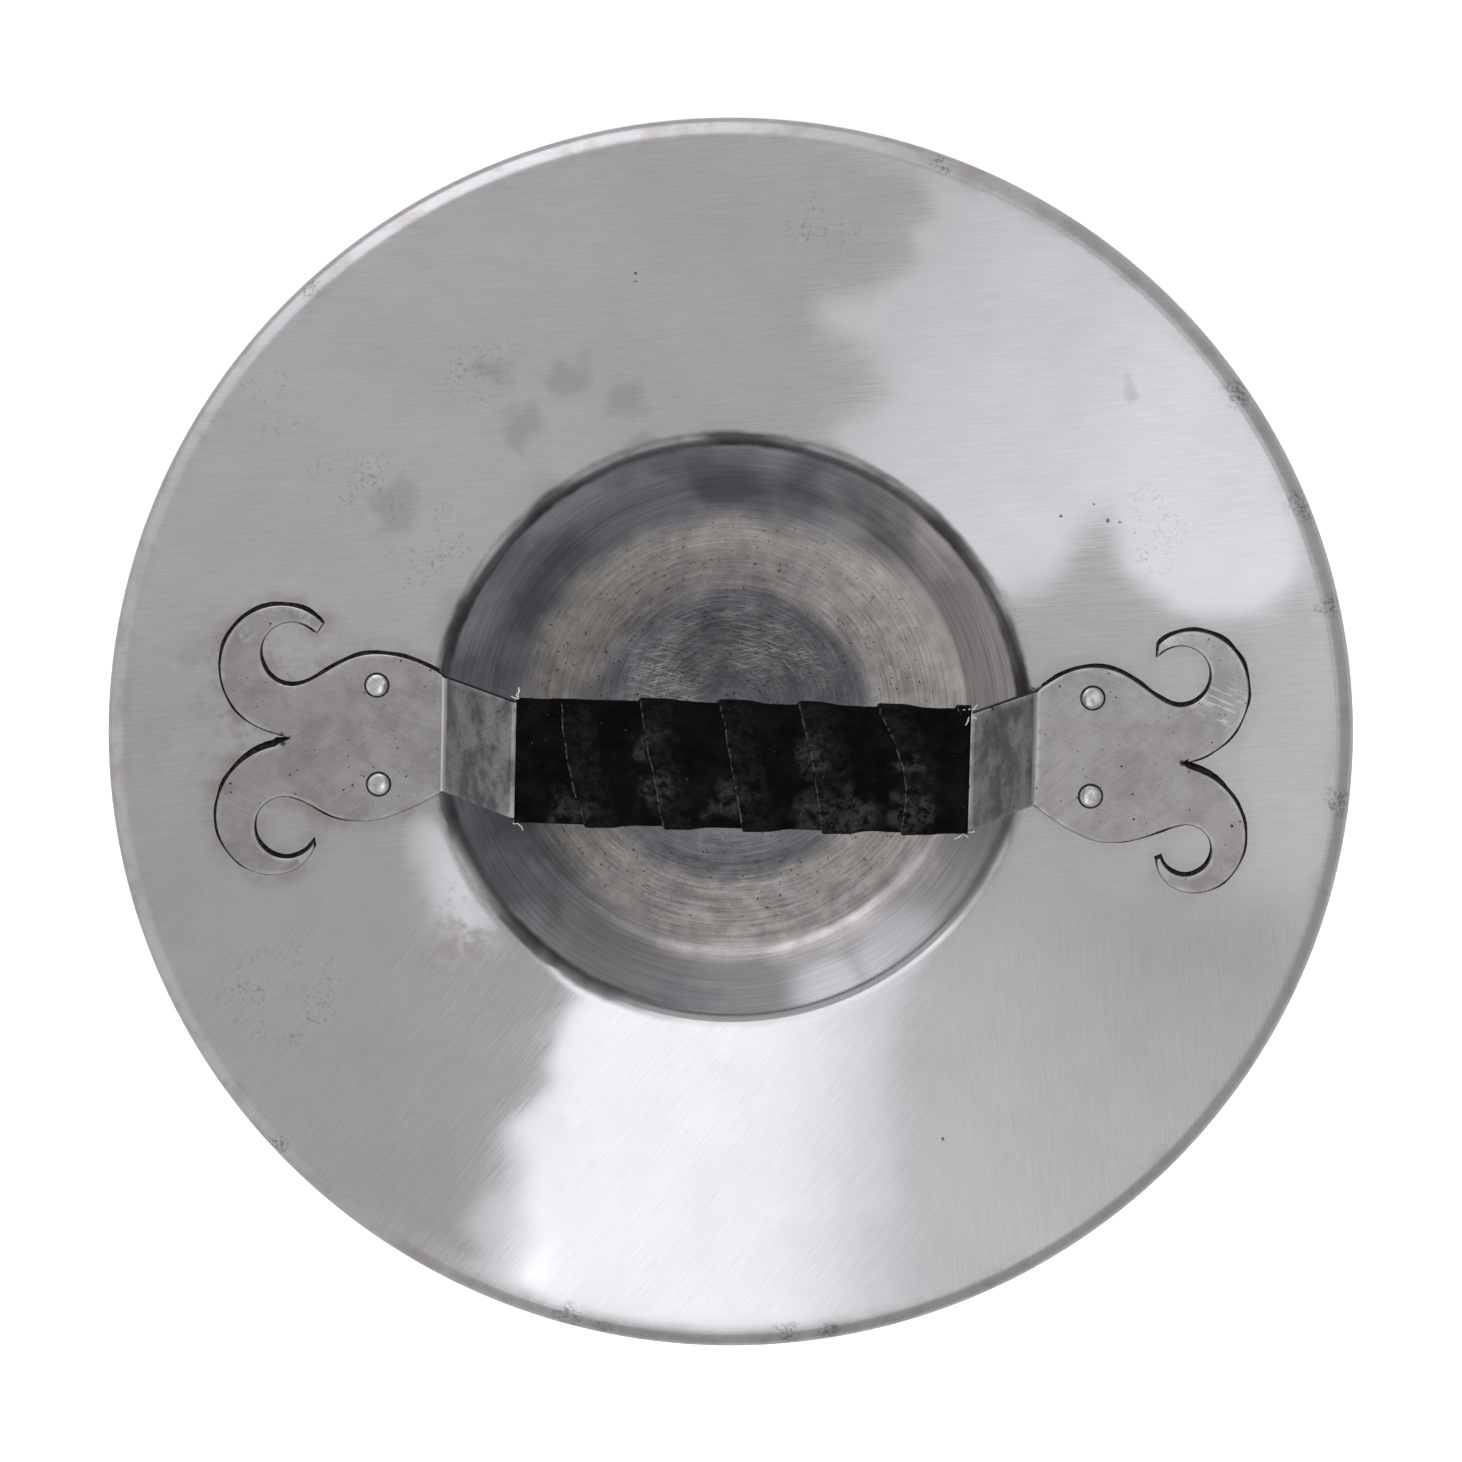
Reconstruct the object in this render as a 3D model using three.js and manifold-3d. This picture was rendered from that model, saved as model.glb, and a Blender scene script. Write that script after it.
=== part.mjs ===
// A buckler: a small round steel shield that lies on its boss with the grip side up.
// Millimetres, +Z up. The origin is under the middle of the rim, level with the boss's flat foot.
// The grip runs along X, and its upper side is towards +Y.

import * as THREE from 'three';
import { mergeVertices } from 'three/addons/utils/BufferGeometryUtils.js';
import Module from 'manifold-3d';

const wasm = await Module();
wasm.setup();

// Driving dimensions. Heights are measured from the foot.

const degree = Math.PI / 180;
const fitGap = 0.3; // between pieces that touch

const sheet = {
  diameter: 330,
  thickness: 1.6,
  height: 30, // of the flat plate's grip side
  rollRadius: 5.2, // outside of the rolled edge
  rollTurn: 240 * degree,
  rollSteps: 8, // a quarter turn is three of them, so the rim has its full width
  sides: 64,
};

const boss = {
  footRadius: 16,
  floorRadius: 62.5, // where the dished floor meets the wall
  floorHeight: 14,
  floorRounding: 6,
  mouthRadius: 78, // where the wall meets the plate
  mouthRounding: 3.5,
  settledRadius: 84, // the plate is flat from here out
  offCentre: 3, // towards +Y
};

// Radii at which the one sheet is parted: at the boss's neck, and just inside the rolled edge
const partings = { boss: 83, rim: 154.5 };

const strap = {
  thickness: 2,
  centre: 0.6, // Y of its centre line
  barHeight: 71, // top of the bar
  barLeft: -56.8,
  barRight: 62.8,
  barRounding: 2,
  bendLeft: -75.6,
  bendRight: 80.1,
  bendRounding: 2.5,
  bendHalfWidth: 15.3,
};

// The strap ends in a fishtail at each side, and each fishtail in two curls cut by hand.
// Places are [outwards, sideways]: outwards from the origin, sideways from the strap's centre line.
// The eye is the round opening inside a curl. The back is the outer edge, a spiral round its own
// centre: its radius is measured straight sideways, and grows towards the notch.
const curls = {
  leftUpper: {
    hump: [93.8, 21.1], eye: [116.1, 20.5], eyeRadius: 8.5, eyeEnd: 138 * degree,
    back: [117.9, 18.0], backRadius: 15.4, backGrowth: 1.2, backEnd: 131 * degree,
  },
  leftLower: {
    hump: [97.5, 23.9], eye: [117.2, 26.0], eyeRadius: 8.3, eyeEnd: 152 * degree,
    back: [118.2, 25.6], backRadius: 13.0, backGrowth: 2.8, backEnd: 148 * degree,
  },
  rightUpper: {
    hump: [96.0, 22.1], eye: [118.2, 20.2], eyeRadius: 8.1, eyeEnd: 142 * degree,
    back: [118.5, 19.1], backRadius: 13.0, backGrowth: 3.0, backEnd: 124 * degree,
  },
  rightLower: {
    hump: [100.3, 24.9], eye: [121.1, 26.5], eyeRadius: 6.9, eyeEnd: 162 * degree,
    back: [119.9, 26.4], backRadius: 11.0, backGrowth: 3.6, backEnd: 157 * degree,
  },
};
const notches = { left: [119.2, -2.4], right: [120.6, -3.0] };
const notchAngle = -84 * degree; // where a curl's back meets the notch

const rivet = {
  shankRadius: 2,
  headRadius: 3.1,
  headHeight: 1.5,
  tailRadius: 3.3,
  tailHeight: 1,
  sides: 16,
};
const rivetPlaces = {
  rivet_left_upper: [-93.8, 13.4],
  rivet_left_lower: [-92.9, -13.1],
  rivet_right_upper: [95.3, 14.5],
  rivet_right_lower: [95.5, -11.8],
};

const wrap = {
  left: -56,
  right: 62,
  leather: 0.9,
  corner: 1.5, // rounding over the bar's edges
  pitch: 20.6, // from one turn's edge to the next
  slant: 6.2, // how far a turn's edge runs along the bar as it crosses the top
  firstEdge: -44.4, // where the first turn's edge leaves the bar's upper side
  edges: 5,
};

const colours = {
  plate: { color: 0xa2a2a4, roughness: 0.32, metalness: 1 },
  strap: { color: 0x908d88, roughness: 0.4, metalness: 1 },
  rivet: { color: 0xb4b3b2, roughness: 0.25, metalness: 1 },
  leather: { color: 0x14120f, roughness: 0.8, metalness: 0 },
};

// Lengths that follow from them

const plateFront = sheet.height - sheet.thickness;
const plateMiddle = sheet.height - sheet.thickness / 2;
const rollCentreRadius = sheet.diameter / 2 - sheet.rollRadius;
const strapUnderside = sheet.height + fitGap;
const strapTop = strapUnderside + strap.thickness;
const barUnderside = strap.barHeight - strap.thickness;

const vector = (x, y) => new THREE.Vector2(x, y);
const polar = (radius, angle) => vector(radius * Math.cos(angle), radius * Math.sin(angle));
const inSteps = (steps, place) => Array.from({ length: steps + 1 }, (_, step) => place(step / steps));

// Between three.js geometry and manifold solids

function solidOf(geometry) {
  const bare = geometry.index ? geometry.toNonIndexed() : geometry.clone();
  bare.deleteAttribute('normal');
  bare.deleteAttribute('uv');
  const merged = mergeVertices(bare, 1e-4);
  const corners = [];
  for (let first = 0; first < merged.index.count; first += 3) {
    const triangle = [0, 1, 2].map((corner) => merged.index.getX(first + corner));
    if (new Set(triangle).size === 3) corners.push(...triangle);
  }
  const mesh = new wasm.Mesh({
    numProp: 3,
    vertProperties: new Float32Array(merged.attributes.position.array),
    triVerts: new Uint32Array(corners),
  });
  return new wasm.Manifold(mesh);
}

function geometryOf(solid) {
  const { vertProperties, triVerts } = solid.getMesh();
  const geometry = new THREE.BufferGeometry();
  geometry.setAttribute('position', new THREE.BufferAttribute(vertProperties, 3));
  geometry.setIndex(new THREE.BufferAttribute(triVerts, 1));
  geometry.computeVertexNormals();
  return geometry;
}

// Bent sheet: a path through its middle, then an outline at half the thickness on each side

function roundedPath(corners) {
  return corners.flatMap(({ at, radius, steps }, index) => {
    if (!radius) return [at];
    const coming = at.clone().sub(corners[index - 1].at).normalize();
    const going = corners[index + 1].at.clone().sub(at).normalize();
    const turn = Math.atan2(coming.cross(going), coming.dot(going));
    const start = at.clone().addScaledVector(coming, -radius * Math.tan(Math.abs(turn) / 2));
    const toCentre = vector(-coming.y, coming.x).multiplyScalar(Math.sign(turn) * radius);
    const centre = start.clone().add(toCentre);
    return inSteps(steps, (part) => start.clone().rotateAround(centre, turn * part));
  });
}

function sheetOutline(path, thickness) {
  const normals = path.slice(1).map((point, index) => {
    const along = point.clone().sub(path[index]).normalize();
    return vector(-along.y, along.x);
  });
  const side = (sign) => path.map((point, index) => {
    const before = normals[Math.max(index - 1, 0)];
    const after = normals[Math.min(index, normals.length - 1)];
    const mitre = before.clone().add(after).normalize();
    const reach = thickness / 2 / mitre.dot(after);
    return point.clone().addScaledVector(mitre, sign * reach);
  });
  return [...side(-1), ...side(1).reverse()];
}

// The plate: disc, boss and rolled edge in one sheet

function platePath() {
  const floorMiddle = sheet.thickness / 2;
  const wallFoot = vector(boss.floorRadius, boss.floorHeight - sheet.thickness / 2);
  // The dish is one arc from the foot's edge to the wall, so both its tangents have this length.
  const dishSpan = boss.floorRadius - boss.floorRounding / 4 - boss.footRadius;
  const dishCorner = vector(boss.footRadius + dishSpan / 2, floorMiddle);
  const dishSlope = wallFoot.clone().sub(dishCorner).angle();
  const dishTangent = dishCorner.x - boss.footRadius;
  const path = roundedPath([
    { at: vector(0, floorMiddle) },
    { at: dishCorner, radius: dishTangent / Math.tan(dishSlope / 2), steps: 5 },
    { at: wallFoot, radius: boss.floorRounding, steps: 2 },
    { at: vector(boss.mouthRadius, plateMiddle), radius: boss.mouthRounding, steps: 3 },
    { at: vector(rollCentreRadius, plateMiddle) },
  ]);
  const rollStart = path.at(-1);
  const rollCentre = vector(rollCentreRadius, sheet.height - sheet.rollRadius);
  const roll = inSteps(sheet.rollSteps, (part) => rollStart.clone().rotateAround(rollCentre, -sheet.rollTurn * part));
  return [...path, ...roll.slice(1)];
}

// The boss sits a little off the disc's centre. The flat plate between them takes up the
// difference, so the rim stays round.
function shiftBoss(geometry) {
  const { position } = geometry.attributes;
  for (let index = 0; index < position.count; index += 1) {
    const radius = Math.hypot(position.getX(index), position.getY(index));
    const share = 1 - THREE.MathUtils.smoothstep(radius, boss.settledRadius, rollCentreRadius);
    position.setY(index, position.getY(index) + boss.offCentre * share);
  }
}

function rivetHoles() {
  const radius = rivet.shankRadius + fitGap;
  const height = strap.barHeight;
  return Object.values(rivetPlaces).map(([x, y]) => {
    const hole = new THREE.CylinderGeometry(radius, radius, height, rivet.sides);
    return solidOf(hole.rotateX(Math.PI / 2).translate(x, y, height / 2));
  });
}

function drilled(solid) {
  return rivetHoles().reduce((rest, hole) => rest.subtract(hole), solid);
}

function plug(radius, y) {
  const cylinder = new THREE.CylinderGeometry(radius, radius, 3 * sheet.height, sheet.sides);
  return solidOf(cylinder.rotateX(Math.PI / 2).translate(0, y, 0));
}

// Three parts of one sheet, with a gap between them, so that collision can follow the hollows
function shieldParts() {
  const outline = sheetOutline(platePath(), sheet.thickness);
  const geometry = new THREE.LatheGeometry(outline, sheet.sides).rotateX(Math.PI / 2);
  shiftBoss(geometry);
  const whole = drilled(solidOf(geometry));
  const inRim = (gap) => plug(partings.rim + gap / 2, 0);
  const inBoss = (gap) => plug(partings.boss + gap / 2, boss.offCentre);
  return {
    rim: geometryOf(whole.subtract(inRim(fitGap))),
    plate: geometryOf(whole.intersect(inRim(-fitGap)).subtract(inBoss(fitGap))),
    boss: geometryOf(whole.intersect(inBoss(-fitGap))),
  };
}

// The grip strap: its flat outline from above, bent along its outline from the side

function curlEdge(curl, bendDistance) {
  const bend = vector(bendDistance, strap.bendHalfWidth);
  const hump = vector(...curl.hump);
  const eye = vector(...curl.eye);
  const throat = eye.clone().add(vector(0, -curl.eyeRadius));
  const shoulder = new THREE.CubicBezierCurve(
    bend,
    bend.clone().add(vector(5, 3.2)),
    hump.clone().add(vector(-7, 0)),
    hump,
  );
  const neck = new THREE.CubicBezierCurve(
    hump,
    hump.clone().add(vector(10, 0)),
    throat.clone().add(vector(-7, 0.7)),
    throat,
  );
  const eyeArc = inSteps(12, (part) => {
    const angle = THREE.MathUtils.lerp(-Math.PI / 2, curl.eyeEnd, part);
    return polar(curl.eyeRadius, angle).add(eye);
  });
  const back = inSteps(16, (part) => {
    const angle = THREE.MathUtils.lerp(curl.backEnd, notchAngle, part);
    const radius = curl.backRadius + curl.backGrowth * (Math.PI / 2 - angle);
    return polar(radius, angle).add(vector(...curl.back));
  });
  return [...shoulder.getPoints(5), ...neck.getPoints(6).slice(1), ...eyeArc.slice(1), ...back];
}

function strapPlan() {
  const place = (end, side) => (point) => vector(end * point.x, strap.centre + side * point.y);
  const edge = (name, bend, end, side) => curlEdge(curls[name], Math.abs(bend)).map(place(end, side));
  const outline = [
    ...edge('rightLower', strap.bendRight, 1, -1),
    place(1, 1)(vector(...notches.right)),
    ...edge('rightUpper', strap.bendRight, 1, 1).reverse(),
    ...edge('leftUpper', strap.bendLeft, -1, 1),
    place(-1, 1)(vector(...notches.left)),
    ...edge('leftLower', strap.bendLeft, -1, -1).reverse(),
  ];
  const plan = new THREE.Shape(outline);
  return solidOf(new THREE.ExtrudeGeometry(plan, { depth: strap.barHeight + 1, bevelEnabled: false }));
}

function strapSide() {
  const reach = sheet.diameter / 2; // past both fishtails
  const endHeight = strapUnderside + strap.thickness / 2;
  const barMiddle = strap.barHeight - strap.thickness / 2;
  const path = roundedPath([
    { at: vector(-reach, endHeight) },
    { at: vector(strap.bendLeft, endHeight), radius: strap.bendRounding, steps: 3 },
    { at: vector(strap.barLeft, barMiddle), radius: strap.barRounding, steps: 4 },
    { at: vector(strap.barRight, barMiddle), radius: strap.barRounding, steps: 4 },
    { at: vector(strap.bendRight, endHeight), radius: strap.bendRounding, steps: 3 },
    { at: vector(reach, endHeight) },
  ]);
  const side = new THREE.Shape(sheetOutline(path, strap.thickness));
  const depth = sheet.diameter / 2;
  const geometry = new THREE.ExtrudeGeometry(side, { depth, bevelEnabled: false });
  return solidOf(geometry.rotateX(Math.PI / 2).translate(0, depth / 2, 0));
}

function gripStrap() {
  return geometryOf(drilled(strapPlan().intersect(strapSide())));
}

// A rivet: a domed head on the strap, a shank through both sheets, a hammered tail on the front

function rivetGeometry() {
  const headSeat = strapTop + fitGap;
  const tailSeat = plateFront - fitGap;
  const head = inSteps(4, (part) => vector(
    rivet.headRadius * Math.cos((part * Math.PI) / 2),
    headSeat + rivet.headHeight * Math.sin((part * Math.PI) / 2),
  ));
  head.at(-1).x = 0;
  const profile = [
    vector(0, tailSeat - rivet.tailHeight),
    vector(rivet.tailRadius * 0.7, tailSeat - rivet.tailHeight),
    vector(rivet.tailRadius, tailSeat - rivet.tailHeight / 2),
    vector(rivet.tailRadius, tailSeat),
    vector(rivet.shankRadius, tailSeat),
    vector(rivet.shankRadius, headSeat),
    ...head,
  ];
  const geometry = new THREE.LatheGeometry(profile, rivet.sides).rotateX(Math.PI / 2);
  return geometryOf(solidOf(geometry));
}

// The leather: one thong wound along the bar. Each turn lies over the last one's right edge, so
// the surface steps up at a turn's edge and then sinks back to a single thickness.

const turnShape = [[0, 0], [0.03, 1], [0.25, 1], [0.6, 0]]; // [part of a turn, added thickness]

// Round the bar once: where a section point lies, which way is out, and how far along the turn
// has run by then.
function wrapSection() {
  const halfWidth = strap.bendHalfWidth + fitGap + wrap.leather;
  const halfHeight = strap.thickness / 2 + fitGap + wrap.leather;
  const acrossTop = inSteps(4, (part) => ({ y: 1 - 2 * part, z: 1, run: wrap.slant * part }));
  const acrossBottom = inSteps(4, (part) => ({
    y: 2 * part - 1,
    z: -1,
    run: THREE.MathUtils.lerp(wrap.slant + 1, wrap.pitch - 1, part),
  }));
  return [...acrossTop, ...acrossBottom].map(({ y, z, run }) => {
    const atCorner = Math.abs(y) === 1;
    return {
      y: y * (atCorner ? halfWidth : halfWidth - wrap.corner),
      z: z * (atCorner ? halfHeight - wrap.corner / 2 : halfHeight),
      outY: atCorner ? y : 0,
      outZ: atCorner ? z / 2 : z,
      run,
    };
  });
}

function wrapOutside() {
  const section = wrapSection();
  const points = section.length;
  const firstTurn = Math.floor((wrap.left - wrap.firstEdge) / wrap.pitch) - 2;
  const lastTurn = Math.ceil((wrap.right - wrap.firstEdge) / wrap.pitch) + 1;
  const positions = [];
  const addPoint = (x, y, z) => positions.push(x, strap.centre + y, strap.barHeight - strap.thickness / 2 + z);
  for (let turn = firstTurn; turn <= lastTurn; turn += 1) {
    const lapped = turn >= 0 && turn < wrap.edges;
    turnShape.forEach(([part, lift]) => {
      const x = wrap.firstEdge + wrap.pitch * (turn + part);
      const added = lapped ? lift * wrap.leather : 0;
      section.forEach(({ y, z, outY, outZ, run }) => addPoint(x + run, y + outY * added, z + outZ * added));
    });
  }
  const rows = positions.length / 3 / points;
  const perTurn = turnShape.length;
  // A row that has gone once round carries on as the row one turn further along.
  const at = (row, point) => (point < points ? row * points + point : (row + perTurn) * points);
  const triangles = [];
  for (let row = 0; row + 1 + perTurn < rows; row += 1) {
    for (let point = 0; point < points; point += 1) {
      const near = [at(row, point), at(row, point + 1)];
      const far = [at(row + 1, point), at(row + 1, point + 1)];
      triangles.push(near[0], near[1], far[0], near[1], far[1], far[0]);
    }
  }
  const cap = (firstRow, facing) => {
    const loop = Array.from({ length: points }, (_, point) => at(firstRow, point));
    for (let row = firstRow + perTurn; row > firstRow; row -= 1) loop.push(at(row, 0));
    const middle = positions.length / 3;
    const first = firstRow * points * 3;
    addPoint(positions[first] + facing * wrap.pitch, 0, 0);
    loop.forEach((corner, index) => {
      const next = loop[(index + 1) % loop.length];
      triangles.push(middle, ...(facing < 0 ? [next, corner] : [corner, next]));
    });
  };
  cap(0, -1);
  cap(rows - 1 - perTurn, 1);
  const geometry = new THREE.BufferGeometry();
  geometry.setAttribute('position', new THREE.Float32BufferAttribute(positions, 3));
  geometry.setIndex(triangles);
  return solidOf(geometry);
}

function boxSolid(width, depth, height, x) {
  const box = new THREE.BoxGeometry(width, depth, height);
  return solidOf(box.translate(x, strap.centre, (strap.barHeight + barUnderside) / 2));
}

function leatherWrap() {
  const length = wrap.right - wrap.left;
  const middle = (wrap.left + wrap.right) / 2;
  const around = boxSolid(length, 100, 100, middle);
  const tunnelWidth = 2 * (strap.bendHalfWidth + fitGap);
  const tunnelHeight = strap.thickness + 2 * fitGap;
  const tunnel = boxSolid(length + 10, tunnelWidth, tunnelHeight, middle);
  return geometryOf(wrapOutside().intersect(around).subtract(tunnel));
}

// The model

function piece(name, geometry, finish) {
  const mesh = new THREE.Mesh(geometry, new THREE.MeshStandardMaterial(finish));
  mesh.name = name;
  return mesh;
}

const buckler = new THREE.Group();
const shield = shieldParts();
buckler.add(
  piece('shield_plate', shield.plate, colours.plate),
  piece('shield_rim', shield.rim, colours.plate),
  piece('shield_boss', shield.boss, colours.plate),
  piece('grip_strap', gripStrap(), colours.strap),
  piece('leather_wrap', leatherWrap(), colours.leather),
);
Object.entries(rivetPlaces).forEach(([name, [x, y]]) => {
  const mesh = piece(name, rivetGeometry(), colours.rivet);
  mesh.position.set(x, y, 0);
  buckler.add(mesh);
});

export default buckler;
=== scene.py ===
import bisect
import math

import bmesh
import bpy
from mathutils import Matrix, Vector, kdtree, noise
from mathutils.geometry import delaunay_2d_cdt


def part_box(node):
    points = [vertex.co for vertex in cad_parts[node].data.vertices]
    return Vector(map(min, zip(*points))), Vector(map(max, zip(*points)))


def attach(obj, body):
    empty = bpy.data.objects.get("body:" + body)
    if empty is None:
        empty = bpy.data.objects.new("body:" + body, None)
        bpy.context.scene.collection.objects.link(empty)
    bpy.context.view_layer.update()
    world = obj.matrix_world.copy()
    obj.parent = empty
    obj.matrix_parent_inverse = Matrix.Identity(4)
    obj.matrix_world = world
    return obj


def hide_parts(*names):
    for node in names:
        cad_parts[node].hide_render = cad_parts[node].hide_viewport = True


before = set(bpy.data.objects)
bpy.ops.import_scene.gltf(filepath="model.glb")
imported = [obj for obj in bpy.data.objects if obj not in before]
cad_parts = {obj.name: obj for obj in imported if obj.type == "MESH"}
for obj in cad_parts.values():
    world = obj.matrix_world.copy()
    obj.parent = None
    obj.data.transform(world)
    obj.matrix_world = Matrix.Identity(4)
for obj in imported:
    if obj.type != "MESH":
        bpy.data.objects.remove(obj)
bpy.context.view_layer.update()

mm = 0.001
degree = math.pi / 180

# Sizes in this script are in millimetres until a mesh is made.
# The buckler lies on its boss, grip side up. The grip runs along X.


def inMm(corners):
    return [corner / mm for corner in corners]


rimLow, rimHigh = inMm(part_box("shield_rim"))
strapLow, strapHigh = inMm(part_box("grip_strap"))
wrapLow, wrapHigh = inMm(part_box("leather_wrap"))
rivetNames = [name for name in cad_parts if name.startswith("rivet_")]


# Shapes in a plane

def smoothStep(value, low, high):
    share = min(max((value - low) / (high - low), 0), 1)
    return share * share * (3 - 2 * share)


def blendOf(low, high, share):
    return low + (high - low) * share


def polar(radius, angle):
    return Vector((radius * math.cos(angle), radius * math.sin(angle)))


def turned(point, centre, angle):
    return centre + Matrix.Rotation(angle, 2) @ (point - centre)


def roundedPath(corners):
    # corners: (place, radius, steps); a radius of 0 keeps the corner sharp
    path = []
    for index, (place, radius, steps) in enumerate(corners):
        if not radius:
            path.append(place)
            continue
        coming = (place - corners[index - 1][0]).normalized()
        going = (corners[index + 1][0] - place).normalized()
        turn = math.atan2(coming.x * going.y - coming.y * going.x, coming.dot(going))
        start = place - coming * radius * math.tan(abs(turn) / 2)
        centre = start + Vector((-coming.y, coming.x)) * math.copysign(radius, turn)
        path += [turned(start, centre, turn * step / steps) for step in range(steps + 1)]
    return path


def refined(path, longest):
    fine = [path[0]]
    for start, end in zip(path, path[1:]):
        steps = max(1, math.ceil((end - start).length / longest))
        fine += [start.lerp(end, step / steps) for step in range(1, steps + 1)]
    return fine


def pathNormals(path):
    alongs = [(end - start).normalized() for start, end in zip(path, path[1:])]
    normals = []
    for index in range(len(path)):
        before = alongs[max(index - 1, 0)]
        after = alongs[min(index, len(alongs) - 1)]
        along = (before + after).normalized()
        normals.append(Vector((-along.y, along.x)) / max(along.dot(after), 0.5))
    return normals


def offsetLoop(loop, distances):
    # moves a closed loop outwards (it runs anticlockwise), each point by its own distance
    moved = []
    for index, point in enumerate(loop):
        before = (point - loop[index - 1]).normalized()
        after = (loop[(index + 1) % len(loop)] - point).normalized()
        along = (before + after).normalized() if (before + after).length > 0.05 else after
        outward = Vector((along.y, -along.x))
        moved.append(point + outward * distances[index] / max(along.dot(after), 0.6))
    return moved


def cubic(start, leave, arrive, end, steps):
    points = []
    for step in range(steps + 1):
        t = step / steps
        points.append(start * (1 - t) ** 3 + leave * 3 * t * (1 - t) ** 2
                      + arrive * 3 * t * t * (1 - t) + end * t ** 3)
    return points


# Making objects

def newPiece(name, mesh, material):
    piece = bpy.data.objects.new(name, mesh)
    bpy.context.scene.collection.objects.link(piece)
    if material:
        mesh.materials.append(material)
    return piece


def meshOf(name, points, faces, marks=None):
    mesh = bpy.data.meshes.new(name)
    mesh.from_pydata([Vector(point) * mm for point in points], [], faces)
    for mark, values in (marks or {}).items():
        layer = mesh.attributes.new(mark, "FLOAT", "POINT")
        layer.data.foreach_set("value", values)
    mesh.validate()
    mesh.shade_smooth()
    return mesh


def facedOutwards(mesh, crease=math.pi):
    # edges that turn by more than the crease stay sharp
    work = bmesh.new()
    work.from_mesh(mesh)
    bmesh.ops.recalc_face_normals(work, faces=work.faces)
    for edge in work.edges:
        if len(edge.link_faces) == 2 and edge.calc_face_angle() > crease:
            edge.smooth = False
    work.to_mesh(mesh)
    work.free()
    return mesh


def plainMesh(piece):
    # the piece with its modifiers worked in, and the modifiers gone
    graph = bpy.context.evaluated_depsgraph_get()
    made = bpy.data.meshes.new_from_object(piece.evaluated_get(graph))
    piece.modifiers.clear()
    piece.data = made
    return piece


def finished(piece, body, slotName, *nodes):
    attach(piece, body)
    if nodes:
        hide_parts(*nodes)
    triangles = sum(len(polygon.vertices) - 2 for polygon in piece.data.polygons)
    print("made", piece.name, triangles, "triangles")


# Building materials

def feed(tree, socket, value):
    if isinstance(value, bpy.types.NodeSocket):
        tree.links.new(value, socket)
    elif socket.type == "RGBA" and not isinstance(value, float) and len(value) == 3:
        socket.default_value = (*value, 1)
    else:
        socket.default_value = value


def addNode(tree, kind, inputs=None, **settings):
    made = tree.nodes.new(kind)
    for name, value in settings.items():
        setattr(made, name, value)
    for name, value in (inputs or {}).items():
        feed(tree, made.inputs[name], value)
    return made


def calc(tree, operation, *values):
    made = addNode(tree, "ShaderNodeMath", operation=operation)
    for index, value in enumerate(values):
        feed(tree, made.inputs[index], value)
    return made.outputs[0]


def times(tree, first, second):
    return calc(tree, "MULTIPLY", first, second)


def plus(tree, first, second):
    return calc(tree, "ADD", first, second)


def larger(tree, first, second):
    return calc(tree, "MAXIMUM", first, second)


def mark(tree, name):
    # a value kept on the mesh's points
    return addNode(tree, "ShaderNodeAttribute", attribute_name=name).outputs["Fac"]


def vectorCalc(tree, operation, first, second, output="Vector"):
    made = addNode(tree, "ShaderNodeVectorMath", {0: first, 1: second}, operation=operation)
    return made.outputs[output]


def between(tree, value, low, high, toLow=0.0, toHigh=1.0):
    made = addNode(tree, "ShaderNodeMapRange", {"Value": value, "To Min": toLow, "To Max": toHigh},
                   interpolation_type="SMOOTHSTEP")
    if low < high:
        made.inputs["From Min"].default_value, made.inputs["From Max"].default_value = low, high
    else:
        made.inputs["From Min"].default_value, made.inputs["From Max"].default_value = high, low
        feed(tree, made.inputs["To Min"], toHigh)
        feed(tree, made.inputs["To Max"], toLow)
    return made.outputs["Result"]


def mixed(tree, share, first, second, how="MIX"):
    made = addNode(tree, "ShaderNodeMix", data_type="RGBA", blend_type=how)
    feed(tree, made.inputs[0], share)
    feed(tree, made.inputs[6], first)
    feed(tree, made.inputs[7], second)
    return made.outputs[2]


def coordinates(tree):
    # the piece's own coordinates, in millimetres
    place = addNode(tree, "ShaderNodeTexCoord").outputs["Object"]
    return addNode(tree, "ShaderNodeMapping", {"Vector": place, "Scale": (1 / mm,) * 3}).outputs["Vector"]


def clouds(tree, place, size, detail=3.0, roughness=0.5):
    made = addNode(tree, "ShaderNodeTexNoise",
                   {"Vector": place, "Scale": 1 / size, "Detail": detail, "Roughness": roughness})
    return made.outputs["Fac"]


def shaken(tree, place, size, reach):
    # the place, pushed about by clouds, so that an edge drawn from it is ragged
    made = addNode(tree, "ShaderNodeTexNoise", {"Vector": place, "Scale": 1 / size, "Detail": 2.0})
    push = vectorCalc(tree, "SUBTRACT", made.outputs["Color"], (0.5, 0.5, 0.5))
    return vectorCalc(tree, "ADD", place, vectorCalc(tree, "MULTIPLY", push, (reach, reach, reach)))


def strokes(tree, place, angle, length, width):
    # brushing: long thin marks that run at this angle
    made = addNode(tree, "ShaderNodeMapping",
                   {"Vector": place, "Rotation": (0, 0, angle), "Scale": (length, width, length)},
                   vector_type="TEXTURE")
    return clouds(tree, made.outputs["Vector"], 1, 2.0, 0.6)


def spots(tree, place, listed):
    # listed: (x, y, z, radius) of soft round spots
    share = None
    for x, y, z, radius in listed:
        far = vectorCalc(tree, "DISTANCE", place, (x, y, z), "Value")
        spot = between(tree, far, radius, radius * 0.35)
        share = spot if share is None else larger(tree, share, spot)
    return share


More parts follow.
